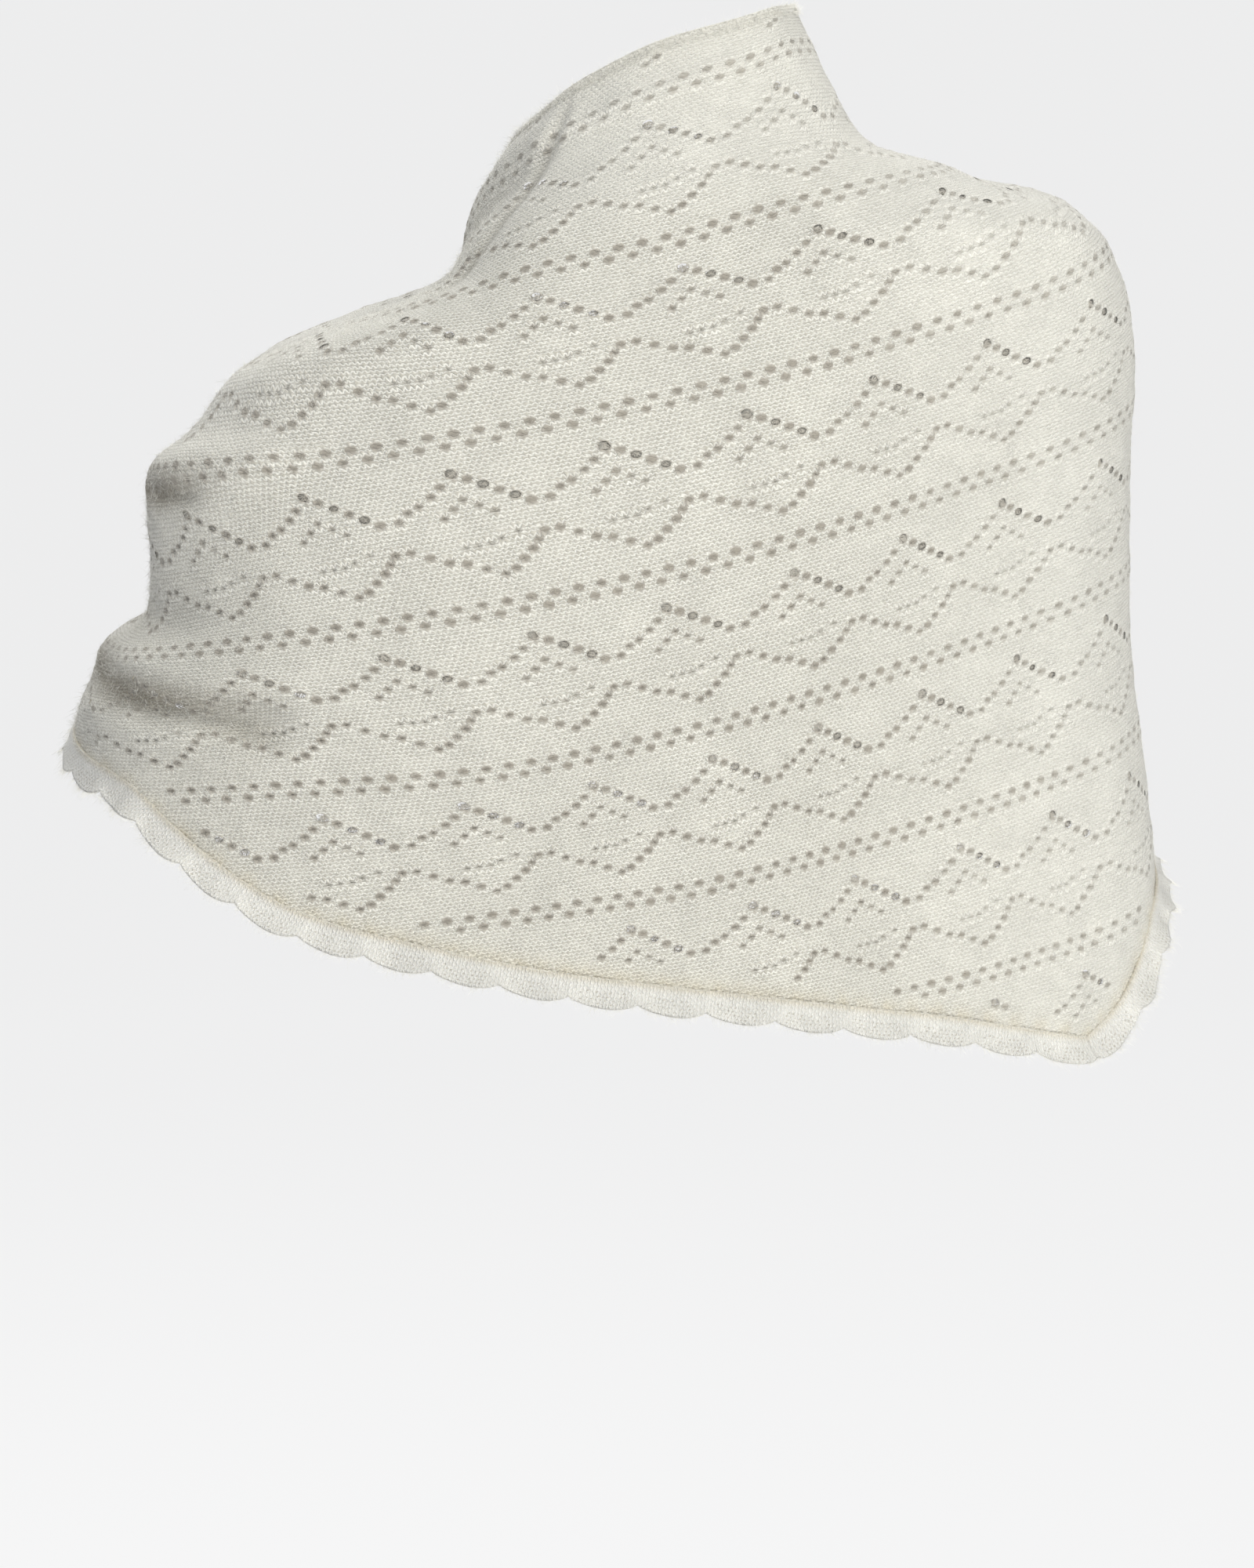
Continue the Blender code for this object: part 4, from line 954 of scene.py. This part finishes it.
# Fuzz on the panel: where, how many fibres, seed, how much longer than most, and how far they lift.
FUZZ_SPREAD = (4.0, 0.70, 1.0, 6.0)    # of lengths in mm: shape, scale, least and most
FUZZ_LIFT_SHAPE = 2.0                  # of the gamma draw of how far they lift
LEFT_SIDE, NECK_BORDER = 58, 6 * MM    # azimuth where the left side starts, and depth of the border
FUZZ_COLUMNS = ("name", "cells", "count", "seed", "longer", "lift")
FUZZ = (
    ("halo_back", solid & over_back, 36000, 21, 1.0, 0.22),
    ("halo_fronts", solid & ~over_back, 11000, 22, 1.0, 0.22),
    ("halo_left_side", solid & over_back & (cell_azimuth > LEFT_SIDE), 9000, 25, 1.5, 0.22),
    ("halo_neck", solid & over_back & (cell_t < NECK_BORDER), 3500, 26, 1.2, 0.6),
)


def panel_fuzz(name, cells, count, seed, longer, lift):
    """Short fibres rooted at random on a stretch: they lie mostly along the cloth and lift at their tips."""
    draw = np.random.default_rng(seed)
    rows, cols = np.nonzero(cells)
    pick = draw.integers(0, len(rows), count)
    rows, cols = rows[pick], cols[pick]
    a, b = draw.random((count, 1)), draw.random((count, 1))
    roots = ((1 - a) * ((1 - b) * cloth_points[rows, cols] + b * cloth_points[rows, cols + 1])
             + a * ((1 - b) * cloth_points[rows + 1, cols] + b * cloth_points[rows + 1, cols + 1]))
    normals = cloth_normals[rows, cols]
    along = unit(cloth_points[rows, cols + 1] - cloth_points[rows, cols])
    turn = draw.uniform(0, 2 * math.pi, (count, 1))
    lying = along * np.cos(turn) + np.cross(normals, along) * np.sin(turn)
    way = unit(lying + normals * draw.gamma(FUZZ_LIFT_SHAPE, lift, (count, 1)))
    tips = roots + way * (drawn_lengths(draw, FUZZ_SPREAD, count) * longer)
    return threads_mesh(name, [roots], tips, way, FIBRE_RADIUS * longer, halo_material)


halos = {row[0]: panel_fuzz(**dict(zip(FUZZ_COLUMNS, row))) for row in FUZZ}

# Across each open eyelet a few fibres in a darker painted shade run from rim to rim, more of them where the
# nap is up.
HAZE_FIBRES, HAZE_SEED, HAZE_RADIUS = 20, 24, 0.20 * MM
HAZE_ALONG, HAZE_ACROSS = 2.5, 1.7     # mm from an eyelet's middle to where they start
HAZE_DEPTHS = (0.2, 0.9)               # mm that they lie behind the face
HAZE_TURN = 1.7                        # radians that their far ends may lie off the opposite side
draw = np.random.default_rng(HAZE_SEED)
haze_counts = (HAZE_FIBRES * (1 + nap[eye_j[eye_open], eye_i[eye_open]])).astype(int)
hole_i, hole_j = (np.repeat(which[eye_open], haze_counts) for which in (eye_i, eye_j))
turn = draw.uniform(0, 2 * math.pi, len(hole_i))[:, None]
along = unit(cloth_points[hole_j, hole_i + 1] - cloth_points[hole_j, hole_i - 1])
normals = cloth_normals[hole_j, hole_i]
across = np.cross(normals, along)
middles = cloth_points[hole_j, hole_i] - normals * draw.uniform(*HAZE_DEPTHS, turn.shape) * MM
reach = (along * np.cos(turn) * HAZE_ALONG + across * np.sin(turn) * HAZE_ACROSS) * MM
far = turn + math.pi + draw.uniform(-HAZE_TURN, HAZE_TURN, turn.shape)
other = (along * np.cos(far) * HAZE_ALONG + across * np.sin(far) * HAZE_ACROSS) * MM
haze = threads_mesh("haze_in_eyelets", [middles + reach, middles + (reach + other) / 2], middles + other,
                    unit(other - reach), HAZE_RADIUS, haze_material)

# Along both hems half of the fibres stand off the edge itself, a quarter lie back over the crease, and
# the others stand off the edging's face. Each leaves its root one way and goes on another.
HEM_FIBRES, HEM_SEED = 16000, 23
EDGE_SHARE, CREASE_SHARE = 0.5, 0.25
CREASE_BACK, CREASE_LIFT = -0.4, 0.35  # how much a fibre on the crease points back, and off the face
HEM_OUT, HEM_ASIDE, HEM_LIFT = (0.2, 1.0), (-0.9, 0.9), (-0.2, 0.7)    # out, along the hem, off the face
HEM_BEND, HEM_DROOP = (-0.8, 0.8), np.array([0, 0, -0.25])    # how it turns aside half way, and sinks
HEM_SPREAD = (4.5, 0.95, 1.5, 8.5)     # of lengths in mm: shape, scale, least and most
draw = np.random.default_rng(HEM_SEED)
edging_places = sum(len(points) for points, normal in edging_grids)
threads = []
for points, normal in edging_grids:
    count = int(HEM_FIBRES * points.shape[0] / edging_places)
    i = draw.integers(0, points.shape[0] - 1, count)
    share = draw.random(count)
    on_edge, on_crease = share < EDGE_SHARE, (share >= EDGE_SHARE) & (share < EDGE_SHARE + CREASE_SHARE)
    k = np.where(on_edge, EDGING_ROWS, np.where(on_crease, 1, draw.integers(1, EDGING_ROWS, count)))
    on_crease = on_crease[:, None]
    roots = points[i, k] + (points[i + 1, k] - points[i, k]) * draw.random((count, 1))
    outward = unit(points[i, k] - points[i, k - 1])
    along = unit(points[i + 1, k] - points[i, k])
    outward = np.where(on_crease, CREASE_BACK * outward, outward)
    first = outward * draw.uniform(*HEM_OUT, (count, 1)) + along * draw.uniform(*HEM_ASIDE, (count, 1))
    first = unit(first + normal[i] * np.where(on_crease, CREASE_LIFT, draw.uniform(*HEM_LIFT, (count, 1))))
    last = unit(first + along * draw.uniform(*HEM_BEND, (count, 1)) + HEM_DROOP)
    threads.append((roots, first, last, drawn_lengths(draw, HEM_SPREAD, count)))
roots, first, last, lengths = (np.concatenate(part) for part in zip(*threads))
middles = roots + first * lengths / 2
hem_halo = threads_mesh("halo_hems", [roots, middles], middles + last * lengths / 2, first, FIBRE_RADIUS,
                        halo_material)


# ---------------------------------------------------------------------------------------------------
# The studio: a pale floor that rises into a round backdrop, a soft key light from behind the wearer's
# right shoulder with gentler ones above, below and in front, and a camera behind the wearer, a little
# above the shoulders.

FLOOR_HEIGHT, FLOOR_REACH, FILLET, WALL_TOP = -1.40, 4.5, 1.6, 4.0
FLOOR_RINGS = [0.001, 1.5, 3.0]
BEND_STEPS, FLOOR_SIDES = 10, 96
PAPER, PAPER_GLOW, PAPER_ROUGHNESS = (0.15, 0.149, 0.147, 1), 0.735, 0.95
bend = np.linspace(0, math.pi / 2, BEND_STEPS)
radii = np.concatenate([FLOOR_RINGS, FLOOR_REACH + FILLET * np.sin(bend), [FLOOR_REACH + FILLET]])
levels = np.concatenate([np.zeros(len(FLOOR_RINGS)), FILLET * (1 - np.cos(bend)), [WALL_TOP]]) + FLOOR_HEIGHT
turns = np.linspace(0, 2 * math.pi, FLOOR_SIDES + 1)[:-1]
ground = np.stack([radii[:, None] * np.cos(turns), radii[:, None] * np.sin(turns),
                   np.broadcast_to(levels[:, None], (len(radii), len(turns)))], axis=-1).reshape(-1, 3)
ring_index = np.arange(len(radii) * len(turns)).reshape(len(radii), len(turns))
inner, outer = ring_index[:-1], ring_index[1:]
ground_faces = np.stack([inner, outer, np.roll(outer, -1, axis=1), np.roll(inner, -1, axis=1)], axis=-1)
ground_mesh = mesh_of("studio_floor", ground, ground_faces.reshape(-1, 4))
ground_mesh.shade_smooth()
paper = bpy.data.materials.new("pale_paper")
paper.use_nodes = True
paper_shader = paper.node_tree.nodes["Principled BSDF"]
for socket, value in (("Base Color", PAPER), ("Emission Color", (1, 1, 1, 1)),
                      ("Emission Strength", PAPER_GLOW), ("Roughness", PAPER_ROUGHNESS)):
    paper_shader.inputs[socket].default_value = value
ground_mesh.materials.append(paper)
floor = bpy.data.objects.new("studio_floor", ground_mesh)
bpy.context.scene.collection.objects.link(floor)
floor.visible_diffuse = False
floor.visible_shadow = False

AIR, AIR_STRENGTH = (0.93, 0.95, 1.0, 1), 0.58    # the even light from all round
world = bpy.data.worlds.new("studio_air")
bpy.context.scene.world = world
world.use_nodes = True
world.node_tree.nodes["Background"].inputs["Color"].default_value = AIR
world.node_tree.nodes["Background"].inputs["Strength"].default_value = AIR_STRENGTH
bpy.context.scene.view_settings.view_transform = "Standard"

LAMP_COLUMNS = ("name", "stands_at", "watts", "size", "colour")
LAMPS = (
    ("key", (-1.8, 1.7, 1.8), 35.0, 0.6, (1.0, 0.985, 0.94)),
    ("high_fill", (0.05, 1.4, 1.6), 23.0, 0.8, (1.0, 0.985, 0.94)),
    ("low_fill", (-0.45, 1.3, -1.25), 18.0, 0.9, (1.0, 0.98, 0.93)),
    ("front_fill", (0.8, -2.4, 1.3), 38.0, 1.4, (1.0, 1.0, 1.0)),
)
LAMPS_AIM = Vector((0.0, 0.0, -0.15))


def soft_light(name, stands_at, watts, size, colour):
    """A square area light that faces the middle of the shawl."""
    light = bpy.data.lights.new(name, "AREA")
    light.energy, light.size, light.color = watts, size, colour
    lamp = bpy.data.objects.new(name, light)
    lamp.location = stands_at
    lamp.rotation_euler = (LAMPS_AIM - Vector(stands_at)).to_track_quat("-Z", "Y").to_euler()
    bpy.context.scene.collection.objects.link(lamp)


for row in LAMPS:
    soft_light(**dict(zip(LAMP_COLUMNS, row)))

TARGET = Vector((0.01875, 0.0, -0.225))
DISTANCE, ELEVATION = 1.9, math.radians(10.0)
SENSOR_WIDTH, LENS = 36.0, 114.00075
camera_data = bpy.data.cameras.new("camera")
camera_data.sensor_fit = "HORIZONTAL"
camera_data.sensor_width = SENSOR_WIDTH
camera_data.lens = LENS
camera = bpy.data.objects.new("camera", camera_data)
camera.location = TARGET + Vector((0.0, math.cos(ELEVATION), math.sin(ELEVATION))) * DISTANCE
camera.rotation_euler = (TARGET - camera.location).to_track_quat("-Z", "Y").to_euler()
bpy.context.scene.collection.objects.link(camera)
bpy.context.scene.camera = camera
